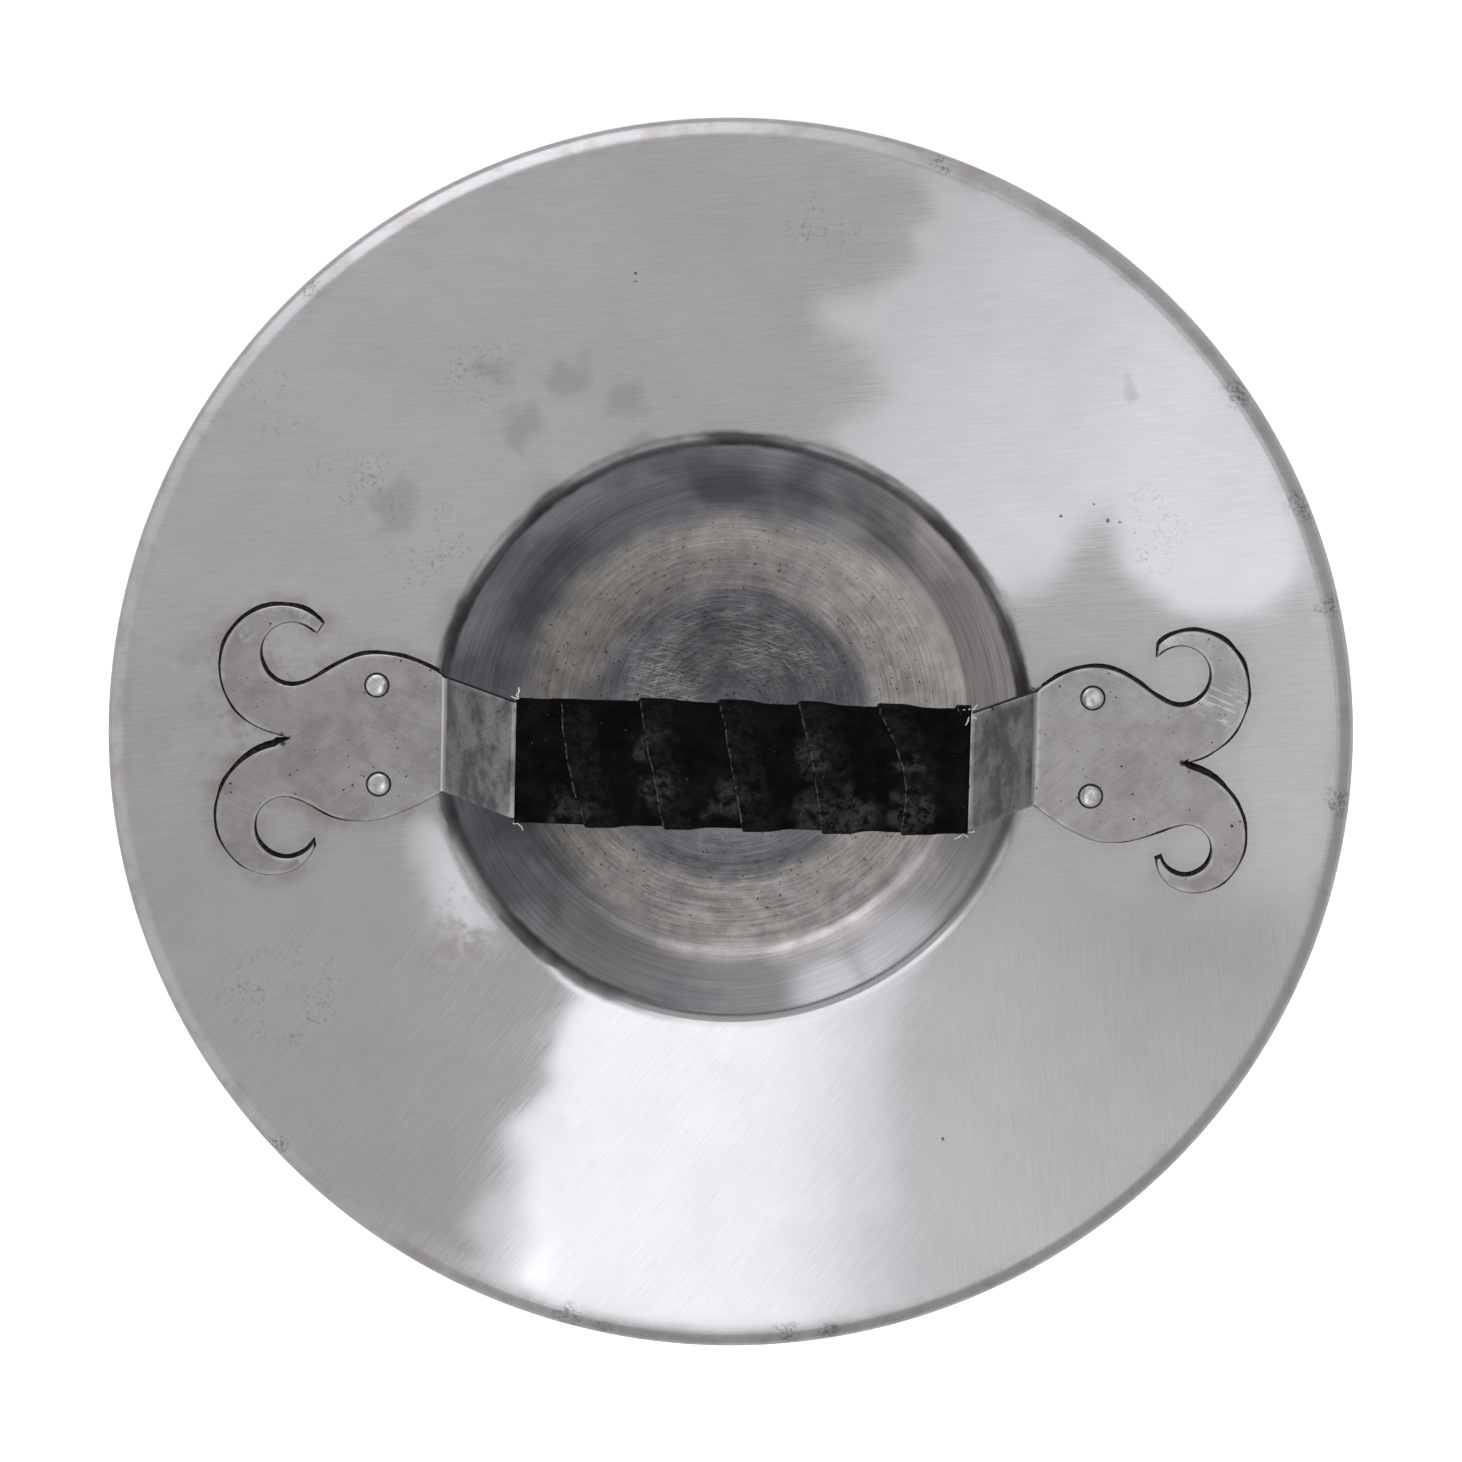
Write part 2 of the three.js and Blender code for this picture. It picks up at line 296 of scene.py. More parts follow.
def newMaterial(name, metallic, roughness):
    material = bpy.data.materials.new(name)
    material.use_nodes = True
    tree = material.node_tree
    shader = tree.nodes["Principled BSDF"]
    shader.inputs["Metallic"].default_value = metallic
    shader.inputs["Roughness"].default_value = roughness
    return material, tree, shader


def addBump(tree, shader, height, strength, distance):
    bump = addNode(tree, "ShaderNodeBump",
                   {"Height": height, "Strength": strength, "Distance": distance * mm})
    tree.links.new(bump.outputs["Normal"], shader.inputs["Normal"])


# The view: camera, lights, floor

view = {
    "tilt": 9.484 * degree,
    "turn": 1.38 * degree,
    "distance": 2.2,  # metres
    "aim": (0.0, 0.002, 0.024),
    "lens": 204.2,
    "sensor": 36,
}
room = {"brightness": 0.57, "colour": (1.0, 0.985, 0.995), "floorColour": (0.94, 0.94, 0.94), "floorSize": 8,
        "bounces": 3}
floorLamp = {"height": 2.4, "size": 5.0, "power": 210}
tent = {
    # a glowing drum close round the shield, seen only in its polish
    "height": 0.2,
    "radius": 0.25,
    "cell": 0.0026,
    "side": 0.47,  # glow of its upright side
    # where round it the side is brighter or dimmer: middle and width in degrees, and by how much
    "sideChanges": [(114, 34, 1.0), (200, 48, 0.20), (285, 45, -0.08), (350, 30, -0.05)],
    "colour": (0.955, 0.945, 1.0),
    "ragged": 3.2,
    "seed": 4,
}
# Brighter panels of its top, each outlined where its reflection falls on the flat plate, in mm.
# A panel fades between two places, to a share of its glow.
panels = [
    {"outline": [(-30, 30), (-42, -50), (-41, -74), (-47, -86), (-45, -93), (-54, -104), (-55, -115), (-51,
                                                                                                       -122),
                 (-49, -134), (-52, -146), (-55, -175), (72, -175), (60, -140), (49, -124), (46, -92), (46,
                                                                                                        -50),
                 (50, 10)],
     "glow": 0.95, "soft": 2.2, "fade": ((8, 0), (58, 0), 0.05)},
    {"outline": [(-50, -119), (-63, -126), (-67, -133), (-61, -139), (-66, -147), (-75, -175), (-48, -175),
                 (-46, -140)],
     "glow": 0.55, "soft": 2.2, "fade": ((-50, 0), (-70, 0), 0.6)},
    {"outline": [(-75, -22), (-84, -25), (-80, -38), (-76, -50), (-68, -61), (-62, -56), (-57, -50), (-68,
                                                                                                      -38)],
     "glow": 0.6, "soft": 2.2, "fade": ((-66, -50), (-78, -20), 0.6)},
    {"outline": [(30, -40), (30, -190), (160, -190), (175, -60), (120, -52), (70, -38)],
     "glow": 0.24, "soft": 20, "fade": ((50, -130), (135, -30), 0.1)},
    {"outline": [(46, 185), (50, 143), (44, 136), (48, 130), (36, 121), (17, 117), (22, 110), (36, 104), (39,
                                                                                                          94),
                 (30, 88), (22, 81), (30, 60), (60, 38), (74, 42), (85, 46), (91, 57), (98, 66), (103, 50),
                 (114, 40), (124, 36), (131, 38), (144, 41), (151, 51), (175, 60), (190, 100), (120, 185)],
     "glow": 0.62, "soft": 2.4, "fade": ((140, 50), (20, 120), 0.5)},
    {"outline": [(70, -35), (145, -40), (175, -60), (200, 0), (175, 50), (150, 42), (80, 60)],
     "glow": 0.22, "soft": 16, "fade": ((165, 0), (100, 0), 0.3)},
    {"outline": [(-200, -170), (-75, -170), (-60, 0), (-200, 20)],
     "glow": -0.05, "soft": 30, "fade": ((-60, 0), (-170, 0), 1.0)},
    {"outline": [(-200, 20), (-80, 40), (-20, 90), (-40, 200), (-200, 200)],
     "glow": 0.03, "soft": 30, "fade": ((-60, 0), (-170, 0), 1.0)},
]


def addCamera():
    tilt, turn = view["tilt"], view["turn"]
    away = Vector((-math.sin(turn) * math.sin(tilt), math.cos(turn) * math.sin(tilt), math.cos(tilt)))
    up = Vector((-math.sin(turn) * math.cos(tilt), math.cos(turn) * math.cos(tilt), -math.sin(tilt)))
    right = up.cross(away)
    data = bpy.data.cameras.new("camera")
    data.lens, data.sensor_width = view["lens"], view["sensor"]
    data.clip_start, data.clip_end = 0.1, 20
    camera = bpy.data.objects.new("camera", data)
    bpy.context.scene.collection.objects.link(camera)
    axes = Matrix((right, up, away)).transposed().to_4x4()
    camera.matrix_world = Matrix.Translation(Vector(view["aim"]) + away * view["distance"]) @ axes
    bpy.context.scene.camera = camera
    return camera


def addLamp(name, at, size, power):
    # a flat lamp that faces the shield
    data = bpy.data.lights.new(name, "AREA")
    data.shape = "RECTANGLE"
    data.size, data.size_y = size
    data.energy = power
    lamp = bpy.data.objects.new(name, data)
    lamp.location = at
    lamp.rotation_euler = Vector(at).to_track_quat("Z", "Y").to_euler()
    lamp.visible_camera = False
    bpy.context.scene.collection.objects.link(lamp)
    return lamp


def panelShare(panel, spot):
    # 1 well inside the panel's outline, 0 outside it, less towards where it fades
    outline = [Vector(corner) for corner in panel["outline"]]
    nearest, inside = 1e9, False
    for start, end in zip(outline, outline[1:] + outline[:1]):
        along = end - start
        share = min(max((spot - start).dot(along) / along.length_squared, 0), 1)
        nearest = min(nearest, (spot - start - along * share).length)
        if (start.y > spot.y) != (end.y > spot.y):
            inside = inside != (spot.x < start.x + (spot.y - start.y) * along.x / along.y)
    edge = smoothStep(nearest if inside else -nearest, -panel["soft"], panel["soft"])
    fadeFrom, fadeTo, least = panel["fade"]
    way = Vector(fadeTo) - Vector(fadeFrom)
    along = (spot - Vector(fadeFrom)).dot(way) / way.length_squared
    return edge * blendOf(1, least, smoothStep(along, 0, 1))


def sideGlow(x, y):
    around = math.degrees(math.atan2(y, x)) % 360
    glow = tent["side"]
    for middle, width, change in tent["sideChanges"]:
        apart = (around - middle + 180) % 360 - 180
        glow += change * math.exp(-(apart / width) ** 2)
    return glow


def topGlow(spot):
    return room["brightness"] + sum(panel["glow"] * panelShare(panel, spot) for panel in panels)


def addTent(camera):
    eye = camera.matrix_world.translation
    rise, reach = tent["height"], tent["radius"]
    grow = 1 + rise / (eye.z - rimHigh.z * mm)
    steps = round(2 * reach / tent["cell"])
    points, faces, glows = [], [], []
    noise.seed_set(tent["seed"])  # the same ragged edges every time
    for row in range(steps + 1):
        for column in range(steps + 1):
            x = (column / steps * 2 - 1) * reach
            y = (row / steps * 2 - 1) * reach + eye.y * (1 - grow)
            # the place on the flat plate where the eye sees this point's reflection
            spot = ((Vector((x, y)) - eye.xy) / grow + eye.xy) / mm
            shake = noise.noise_vector(Vector((spot.x / 13, spot.y / 13, 0.5))).xy
            shake += 0.5 * noise.noise_vector(Vector((spot.x / 4, spot.y / 4, 3.5))).xy
            spot = spot + shake * tent["ragged"]
            glows.append(topGlow(spot))
            points.append(Vector((x, y, rimHigh.z * mm + rise)) / mm)
    for row in range(steps):
        for column in range(steps):
            a = row * (steps + 1) + column
            faces.append((a, a + 1, a + steps + 2, a + steps + 1))
    # the upright side, which takes on the top's glow as it rises to it
    first, sides, rings = len(points), 180, 12
    for ring in range(rings + 1):
        share = ring / rings
        for side in range(sides):
            spot = polar(reach * 1.02, 2 * math.pi * side / sides)
            points.append(Vector((spot.x, spot.y, 0.0005 + share * 1.3 * rise)) / mm)
            top = topGlow(polar(175, 2 * math.pi * side / sides))
            glows.append(blendOf(sideGlow(spot.x, spot.y), top, smoothStep(share, 0.45, 0.95)))
    for ring in range(rings):
        for side in range(sides):
            a = first + ring * sides + side
            b = first + ring * sides + (side + 1) % sides
            faces.append((a, b, b + sides, a + sides))
    material = bpy.data.materials.new("tentGlow")
    material.use_nodes = True
    material.cycles.emission_sampling = "NONE"
    tree = material.node_tree
    tree.nodes.clear()
    glow = mark(tree, "glow")
    tint = mixed(tree, between(tree, glow, 0.6, 1.1), room["colour"], tent["colour"])
    bright = addNode(tree, "ShaderNodeEmission", {"Color": tint, "Strength": glow})
    addNode(tree, "ShaderNodeOutputMaterial", {"Surface": bright.outputs[0]})
    piece = newPiece("lightTent", meshOf("lightTent", points, faces, {"glow": glows}), material)
    piece.visible_camera = piece.visible_diffuse = piece.visible_shadow = False


def addRoom():
    scene = bpy.context.scene
    scene.view_settings.view_transform = "Standard"
    scene.cycles.max_bounces = room["bounces"]
    world = bpy.data.worlds.new("room")
    scene.world = world
    world.use_nodes = True
    background = world.node_tree.nodes["Background"]
    background.inputs["Color"].default_value = (*room["colour"], 1)
    background.inputs["Strength"].default_value = room["brightness"]
    lamp = addLamp("floorLamp", (0, 0, floorLamp["height"]), (floorLamp["size"],) * 2, floorLamp["power"])
    lamp.visible_glossy = False

    half = room["floorSize"] / mm / 2
    corners = [(-half, -half, 0), (half, -half, 0), (half, half, 0), (-half, half, 0)]
    material, tree, shader = newMaterial("floorFinish", 0, 0.9)
    shader.inputs["Base Color"].default_value = (*room["floorColour"], 1)
    floor = newPiece("floor", meshOf("floor", corners, [(0, 1, 2, 3)]), material)
    floor.visible_glossy = False


addTent(addCamera())
addRoom()
print("camera, lights and floor are in place")


# The plate: disc, boss and rolled edge in one sheet

plate = {
    "thickness": 1.6,
    "rollRadius": 5.2,
    "rollTurn": 240 * degree,
    "footRadius": 16,
    "floorRadius": 62.5,
    "floorHeight": 14,
    "floorRounding": 12,
    "mouthRadius": 78,
    "mouthRounding": 5,
    "settledRadius": 84,
    "offCentre": 3,
    "sides": 400,
    "longest": 2.1,
}
hammering = {
    # the sheet's waviness, from the hammer: size of a wave and height of it
    "waves": [(75, 0.16), (32, 0.045), (12, 0.006)],
    "seed": 4.7,
}


def platePath():
    half = plate["thickness"] / 2
    top = rimHigh.z - half
    rollCentre = Vector((rimHigh.x - plate["rollRadius"], rimHigh.z - plate["rollRadius"]))
    wallFoot = Vector((plate["floorRadius"], plate["floorHeight"] - half))
    span = plate["floorRadius"] - plate["floorRounding"] / 4 - plate["footRadius"]
    dish = Vector((plate["footRadius"] + span / 2, half))
    slope = math.atan2(wallFoot.y - dish.y, wallFoot.x - dish.x)
    path = roundedPath([
        (Vector((0, half)), 0, 0),
        (dish, span / 2 / math.tan(slope / 2), 20),
        (wallFoot, plate["floorRounding"], 6),
        (Vector((plate["mouthRadius"], top)), plate["mouthRounding"], 7),
        (Vector((rollCentre.x, top)), 0, 0),
    ])
    path = refined(path, plate["longest"])
    steps = 26
    return path + [turned(path[-1], rollCentre, -plate["rollTurn"] * step / steps)
                   for step in range(1, steps + 1)]


def waviness(x, y):
    height = 0
    for size, tall in hammering["waves"]:
        height += tall * noise.noise(Vector((x / size, y / size, hammering["seed"])))
    return height


def plateMesh():
    path = platePath()
    normals = pathNormals(path)
    half = plate["thickness"] / 2
    grip = [point + normal * half for point, normal in zip(path, normals)]
    front = [point - normal * half for point, normal in zip(path, normals)]
    profile = [(point, middle.x) for point, middle in zip(grip, path)]
    profile += [(point, middle.x) for point, middle in zip(reversed(front), reversed(path))]
    rimStart = rimHigh.x - plate["rollRadius"]
    sides = plate["sides"]
    points, faces = [], []
    for point, middle in profile[1:-1]:
        share = 1 - smoothStep(point.x, plate["settledRadius"], rimStart)
        wavy = smoothStep(middle, plate["mouthRadius"], plate["mouthRadius"] + 12)
        wavy *= 1 - 0.6 * smoothStep(middle, rimStart - 14, rimStart)
        wavy = max(wavy, 0.5 * (1 - smoothStep(middle, 25, 60)))
        for side in range(sides):
            angle = 2 * math.pi * side / sides
            x = point.x * math.cos(angle)
            y = point.x * math.sin(angle) + plate["offCentre"] * share
            lift = wavy * waviness(x, y) if wavy > 0 else 0
            points.append((x, y, point.y + lift))
    rings = len(profile) - 2
    for ring in range(rings - 1):
        for side in range(sides):
            nextSide = (side + 1) % sides
            a, b = ring * sides + side, ring * sides + nextSide
            faces.append((a, a + sides, b + sides, b))
    for first, pole, flip in ((0, profile[0][0], False), ((rings - 1) * sides, profile[-1][0], True)):
        points.append((0, plate["offCentre"], pole.y))
        for side in range(sides):
            corner = (len(points) - 1, first + side, first + (side + 1) % sides)
            faces.append(corner[::-1] if flip else corner)
    return meshOf("shieldPlate", points, faces)


plateLook = {
    "bare": (0.63, 0.620, 0.624),
    "dull": (0.565, 0.556, 0.560),
    "brown": (0.30, 0.265, 0.22),
    "nearBlack": (0.045, 0.04, 0.038),
    # the smudges' colour, also used for the painted shadow round the boss's mouth
    "smudge": (0.36, 0.355, 0.36),
    # painted light and shade of the boss: darker towards the upper left, lighter towards the lower right and the
    # right
    "wallShade": (0.25, 0.265, 0.295),  # of the boss's wall, towards the upper left
    "wallLight": (0.335, 0.325, 0.316),  # towards the lower right
    "wallRightLit": (0.60, 0.575, 0.56),
    "ringShade": (0.51, 0.488, 0.455),
    "ringLight": (0.97, 0.925, 0.875),
    "bossMiddle": (0.36, 0.37, 0.39),
    "darkDisc": (0, -2.5, 39),  # the dark middle's centre and radius
    "roughness": 0.09,
    "bossRoughness": 0.34,
    "strokeLength": 9,
    "strokeWidth": 0.32,
    "smudges": [(-44, 97, 30, 8), (-30, 91, 30, 8), (-57, 83, 30, 8), (-65, 97, 30, 6), (101, 97, 30, 3.5),
                (-24, 78, 30, 7), (-90, 60, 30, 9)],
    "specked": [(-100, 62, 30, 20), (-82, 48, 30, 18), (-124, 88, 30, 16), (-70, 100, 30, 14), (-118, -70,
                                                                                                30, 22),
                (20, 140, 30, 14), (110, 60, 30, 15)],
    "rimRust": [(-40, -157.5, 29, 6), (-30, -160, 29, 4), (19, -160.5, 29, 5), (30, -159, 29, 4), (-158, -62,
                                                                                                   29, 4),
                (150, 67, 29, 7), (157, 40, 29, 5), (-118, -112, 29, 4), (131, 96, 29, 5), (52, 155, 29, 4),
                (-113, 118, 29, 4), (161, -12, 29, 5)],
    "tailStains": [(-122, 2, 30, 38), (-86, 8, 30, 16), (-70, -50, 30, 16)],
    "nicks": [(-28, 124, 30, 0.6), (-27.8, 122, 30, 0.5), (59, -106, 30, 0.7), (122, -8.5, 30, 0.6),
              (126, -8.2, 30, 0.5), (85.5, 62.5, 30, 0.6), (98, 61.5, 30, 0.7), (101, 61.3, 30, 0.6),
              (94, 66, 30, 0.5)],
    # painted shade patches and painted highlights on the boss's wall
    "paintedWallShade": [(-14, -69, 24, 8), (-6, -71, 24, 7), (-58, 42, 24, 9), (-66, 12, 22, 7), (30, 66, 22, 8)],
    "paintedWallHighlights": [(46, -56, 25, 19), (28, -67, 25, 15)],
    "bossNicks": [(-8, 58, 5, 1.0), (-52, 26, 5, 1.0), (37, 44, 5, 1.0), (4, 33, 2, 0.9), (-5, -42, 5, 0.7)],
}


def plateFinish():
    material, tree, shader = newMaterial("plateSteel", 1, plateLook["roughness"])
    place = coordinates(tree)
    ragged = shaken(tree, place, 30, 22)
    axes = addNode(tree, "ShaderNodeSeparateXYZ", {"Vector": ragged}).outputs
    flat = vectorCalc(tree, "MULTIPLY", place, (1, 1, 0))
    radius = vectorCalc(tree, "LENGTH", flat, (0, 0, 0), "Value")
    fromBoss = vectorCalc(tree, "SUBTRACT", flat, (0, plate["offCentre"], 0))
    bossRadius = vectorCalc(tree, "LENGTH", fromBoss, (0, 0, 0), "Value")
    inBoss = between(tree, bossRadius, plate["mouthRadius"] + 0.5, plate["mouthRadius"] - 2.5)

    # brushing: level at the top, slanting at the bottom, upright at the lower right
    length, width = plateLook["strokeLength"], plateLook["strokeWidth"]
    level = strokes(tree, place, 6 * degree, length, width)
    slanting = strokes(tree, place, 52 * degree, length, width)
    upright = strokes(tree, place, 97 * degree, length, width)
    low = between(tree, axes["Y"], -20, -60)
    lowRight = times(tree, low, between(tree, axes["X"], 40, 75))
    brushing = mixed(tree, lowRight, mixed(tree, low, level, slanting), upright)
    # inside the boss it goes round
    direction = vectorCalc(tree, "NORMALIZE", fromBoss, (0, 0, 0))
    around = addNode(tree, "ShaderNodeCombineXYZ", {"Z": times(tree, bossRadius, 1.9)})
    wheel = vectorCalc(tree, "ADD", vectorCalc(tree, "MULTIPLY", direction, (2.4, 2.4, 0)),
                       around.outputs["Vector"])
    rounds = clouds(tree, wheel, 1, 3.0, 0.65)
    brushing = mixed(tree, inBoss, brushing, rounds)

    # colour
    broad = clouds(tree, place, 24, 3)
    middling = clouds(tree, place, 9, 4, 0.7)
    fine = clouds(tree, place, 1.1, 3, 0.72)
    patches = between(tree, clouds(tree, place, 38, 4, 0.65), 0.38, 0.66)
    colour = mixed(tree, times(tree, patches, 0.55), plateLook["bare"], plateLook["dull"])
    byRim = times(tree, between(tree, radius, 156, 163),
                 between(tree, clouds(tree, place, 11, 3, 0.65), 0.46, 0.68))
    stain = between(tree, middling, 0.42, 0.68)
    byTails = times(tree, spots(tree, ragged, plateLook["tailStains"]), stain)
    smudge = times(tree, spots(tree, shaken(tree, place, 9, 14), plateLook["smudges"]), 0.42)
    colour = mixed(tree, smudge, colour, plateLook["smudge"])
    brownness = larger(tree, times(tree, byRim, 0.3), times(tree, byTails, 0.46))
    colour = mixed(tree, brownness, colour, plateLook["brown"])
    nearStrap = mark(tree, "nearStrap")
    dirt = times(tree, nearStrap, between(tree, middling, 0.36, 0.62, 0.2, 1.0))
    colour = mixed(tree, times(tree, dirt, between(tree, axes["X"], -10, 10, 0.45, 0.22)), colour,
                   plateLook["brown"])

    # painted shadow: the plate darker just outside the boss's mouth, mostly towards the left
    mouthShadow = times(tree, between(tree, bossRadius, 88, 79), between(tree, broad, 0.42, 0.62))
    mouthShadow = times(tree, mouthShadow, between(tree, axes["X"], 20, -40))
    colour = mixed(tree, times(tree, mouthShadow, 0.45), colour, plateLook["smudge"])
    # specks of old rust
    speckles = between(tree, fine, 0.52, 0.66)
    speckles = times(tree, speckles, times(tree, spots(tree, ragged, plateLook["specked"]),
                                                     between(tree, middling, 0.42, 0.6)))
    colour = mixed(tree, times(tree, speckles, 0.6), colour, plateLook["brown"])
    rusted = times(tree, between(tree, fine, 0.46, 0.58),
                  spots(tree, shaken(tree, place, 5, 6), plateLook["rimRust"]))
    colour = mixed(tree, times(tree, rusted, 0.5), colour, plateLook["nearBlack"])

    # the boss: bright ring, dark middle; painted light and shade make the ring and wall darker towards the upper
    # left and lighter towards the lower right and the right
    pushed = vectorCalc(tree, "SUBTRACT", shaken(tree, flat, 12, 9), (0, plate["offCentre"], 0))
    bossRagged = vectorCalc(tree, "LENGTH", pushed, (0, 0, 0), "Value")
    outwards = vectorCalc(tree, "NORMALIZE", pushed, (0, 0, 0))
    lit = between(tree, vectorCalc(tree, "DOT_PRODUCT", outwards, (0.7, -0.71, 0), "Value"), -0.6, 0.95)
    litToRight = between(tree, vectorCalc(tree, "DOT_PRODUCT", outwards, (0.98, 0.15, 0), "Value"), 0.35, 0.95)
    discX, discY, discRadius = plateLook["darkDisc"]
    fromDisc = vectorCalc(tree, "SUBTRACT", shaken(tree, flat, 9, 6), (discX, discY, 0))
    ring = between(tree, vectorCalc(tree, "LENGTH", fromDisc, (0, 0, 0), "Value"), discRadius - 3,
                   discRadius + 3)
    wall = between(tree, plus(tree, bossRagged, times(tree, lit, -9.0)), 50, 60)
    ringColour = mixed(tree, lit, plateLook["ringShade"], plateLook["ringLight"])
    ringColour = mixed(tree, times(tree, litToRight, 0.7), ringColour, plateLook["ringLight"])
    floorColour = mixed(tree, ring, plateLook["bossMiddle"], ringColour)
    mottled = between(tree, clouds(tree, place, 6, 4, 0.7), 0.35, 0.7, 0.80, 1.10)
    floorColour = mixed(tree, 1.0, floorColour, mottled, "MULTIPLY")
    wallColour = mixed(tree, lit, plateLook["wallShade"], plateLook["wallLight"])
    wallColour = mixed(tree, litToRight, wallColour, plateLook["wallRightLit"])
    upper = between(tree, bossRadius, 62, 74, 0.82, 1.25)
    wallColour = mixed(tree, 1.0, wallColour, mixed(tree, lit, upper, (1.0, 1.0, 1.0, 1)), "MULTIPLY")
    blotches = between(tree, broad, 0.36, 0.62, 0.68, 1.25)
    blotches = mixed(tree, between(tree, lit, 0.3, 0.7), blotches, (1.0, 1.0, 1.0, 1))
    wallColour = mixed(tree, 1.0, wallColour, blotches, "MULTIPLY")
    # painted shade: darker patches on the boss's wall
    shaded = spots(tree, shaken(tree, place, 8, 8), plateLook["paintedWallShade"])
    wallColour = mixed(tree, times(tree, shaded, 0.6), wallColour, plateLook["wallShade"])
    # painted highlights on the boss's wall, towards the lower right
    paintedHighlight = spots(tree, place, plateLook["paintedWallHighlights"])
    wallColour = mixed(tree, times(tree, paintedHighlight, 0.5), wallColour, (0.93, 0.92, 0.95, 1))
    bossColour = mixed(tree, wall, floorColour, wallColour)
    # scratches left in the middle by a coarse abrasive
    scratched = larger(tree, strokes(tree, place, -14 * degree, 8, 0.3), strokes(tree, place, 12 * degree, 6,
                                                                                 0.25))
    inMiddle = times(tree, between(tree, bossRagged, 36, 20), between(tree, broad, 0.4, 0.6))
    scratched = times(tree, between(tree, scratched, 0.54, 0.63), inMiddle)
    bossColour = mixed(tree, times(tree, scratched, 0.8), bossColour, plateLook["ringLight"])
    colour = mixed(tree, inBoss, colour, bossColour)

    # pits and nicks; in the boss the pits run together along the turning
    pitted = times(tree, inBoss, between(tree, bossRadius, 62, 52))
    pits = times(tree, between(tree, clouds(tree, place, 0.95, 1), 0.68, 0.75), pitted)
    scored = vectorCalc(tree, "MULTIPLY", wheel, (3.0, 3.0, 1.5))
    score = times(tree, between(tree, clouds(tree, scored, 1, 3.0, 0.6), 0.57, 0.68),
                 times(tree, pitted, plus(tree, 0.25, between(tree, middling, 0.4, 0.65))))
    nicks = spots(tree, shaken(tree, place, 1.4, 1.6), plateLook["nicks"] + plateLook["bossNicks"])
    dark = larger(tree, larger(tree, pits, times(tree, score, 0.7)), nicks)
    # painted shade: a dark line round the upper part of the boss's mouth
    mouthShaken = vectorCalc(tree, "LENGTH", vectorCalc(tree, "SUBTRACT", shaken(tree, flat, 6, 1.2),
                                                        (0, plate["offCentre"], 0)), (0, 0, 0), "Value")
    line = times(tree, between(tree, mouthShaken, 75.2, 76.6), between(tree, mouthShaken, 80.8, 79.0))
    aboutLow = vectorCalc(tree, "DOT_PRODUCT", outwards, (0.35, -0.94, 0), "Value")
    line = times(tree, line, between(tree, aboutLow, 0.97, 0.6, 0.15, 1.0))
    line = times(tree, line, between(tree, broad, 0.36, 0.6, 0.72, 1.12))
    dark = larger(tree, dark, line)
    # pits, nicks and the painted shade line all go near black
    colour = mixed(tree, times(tree, dark, 0.8), colour, plateLook["nearBlack"])
    contrast = times(tree, between(tree, inBoss, 0.0, 1.0, 0.26, 1.1), calc(tree, "SUBTRACT", brushing, 0.5))
    streaked = plus(tree, contrast, 1.0)
    colour = mixed(tree, 1.0, colour, streaked, "MULTIPLY")
    tree.links.new(colour, shader.inputs["Base Color"])

    # shine
    streaks = between(tree, brushing, 0.3, 0.7, -0.02, 0.03)
    cloudy = between(tree, broad, 0.35, 0.7, -0.02, 0.03)
    rough = plus(tree, plus(tree, plateLook["roughness"], streaks), cloudy)
    rough = plus(tree, rough, times(tree, brownness, 0.25))
    rough = plus(tree, rough, between(tree, radius, 153, 162, 0.0, 0.14))
    rough = plus(tree, rough, times(tree, inBoss, plateLook["bossRoughness"] - plateLook["roughness"]))
    rough = plus(tree, rough, times(tree, line, 0.3))
    tree.links.new(rough, shader.inputs["Roughness"])
    return material


shieldPlate = newPiece("shieldPlate", plateMesh(), plateFinish())
finished(shieldPlate, "root", "plate_steel", "shield_plate", "shield_rim", "shield_boss")


# The strap: a flat blank with a fishtail at each end, bent up into the grip

strap = {
    "thickness": 2,
    "barLeft": -56.1,
    "barRight": 62.1,
    "barRounding": 1,
    "bendLeft": -75.6,
    "bendRight": 80.1,
    "bendRounding": 2.5,
    "bendHalfWidth": 15.3,
    "edgeWear": 0.3,
    "crease": 35 * degree,
    "longest": 2.0,
}
# Each fishtail ends in two curls cut by hand. Places are (outwards, sideways from the strap's middle).
curls = {
    "leftUpper": {
        "hump": (93.8, 21.1), "eye": (116.1, 20.5), "eyeRadius": 8.5, "eyeEnd": 138,
        "back": (117.9, 18.0), "backRadius": 15.4, "backGrowth": 1.2, "backEnd": 132,
    },
    "leftLower": {
        "hump": (97.5, 23.9), "eye": (117.2, 26.0), "eyeRadius": 8.3, "eyeEnd": 152,
        "back": (118.2, 25.6), "backRadius": 13.0, "backGrowth": 2.8, "backEnd": 148,
    },
    "rightUpper": {
        "hump": (96.0, 22.1), "eye": (118.2, 20.2), "eyeRadius": 8.1, "eyeEnd": 142,
        "back": (118.5, 19.1), "backRadius": 13.0, "backGrowth": 3.0, "backEnd": 124,
    },
    "rightLower": {
        "hump": (100.3, 24.9), "eye": (121.1, 26.5), "eyeRadius": 6.9, "eyeEnd": 162,
        "back": (119.9, 26.4), "backRadius": 11.0, "backGrowth": 3.6, "backEnd": 157,
    },
}
notches = {
    "left": [(119.6, -1.2), (116.6, -2.0), (119.4, -3.4)],
    "right": [(121.0, -2.0), (119.6, -2.9), (121.0, -4.2)],
}
notchAngle = -84
strapMiddle = (wrapLow.y + wrapHigh.y) / 2


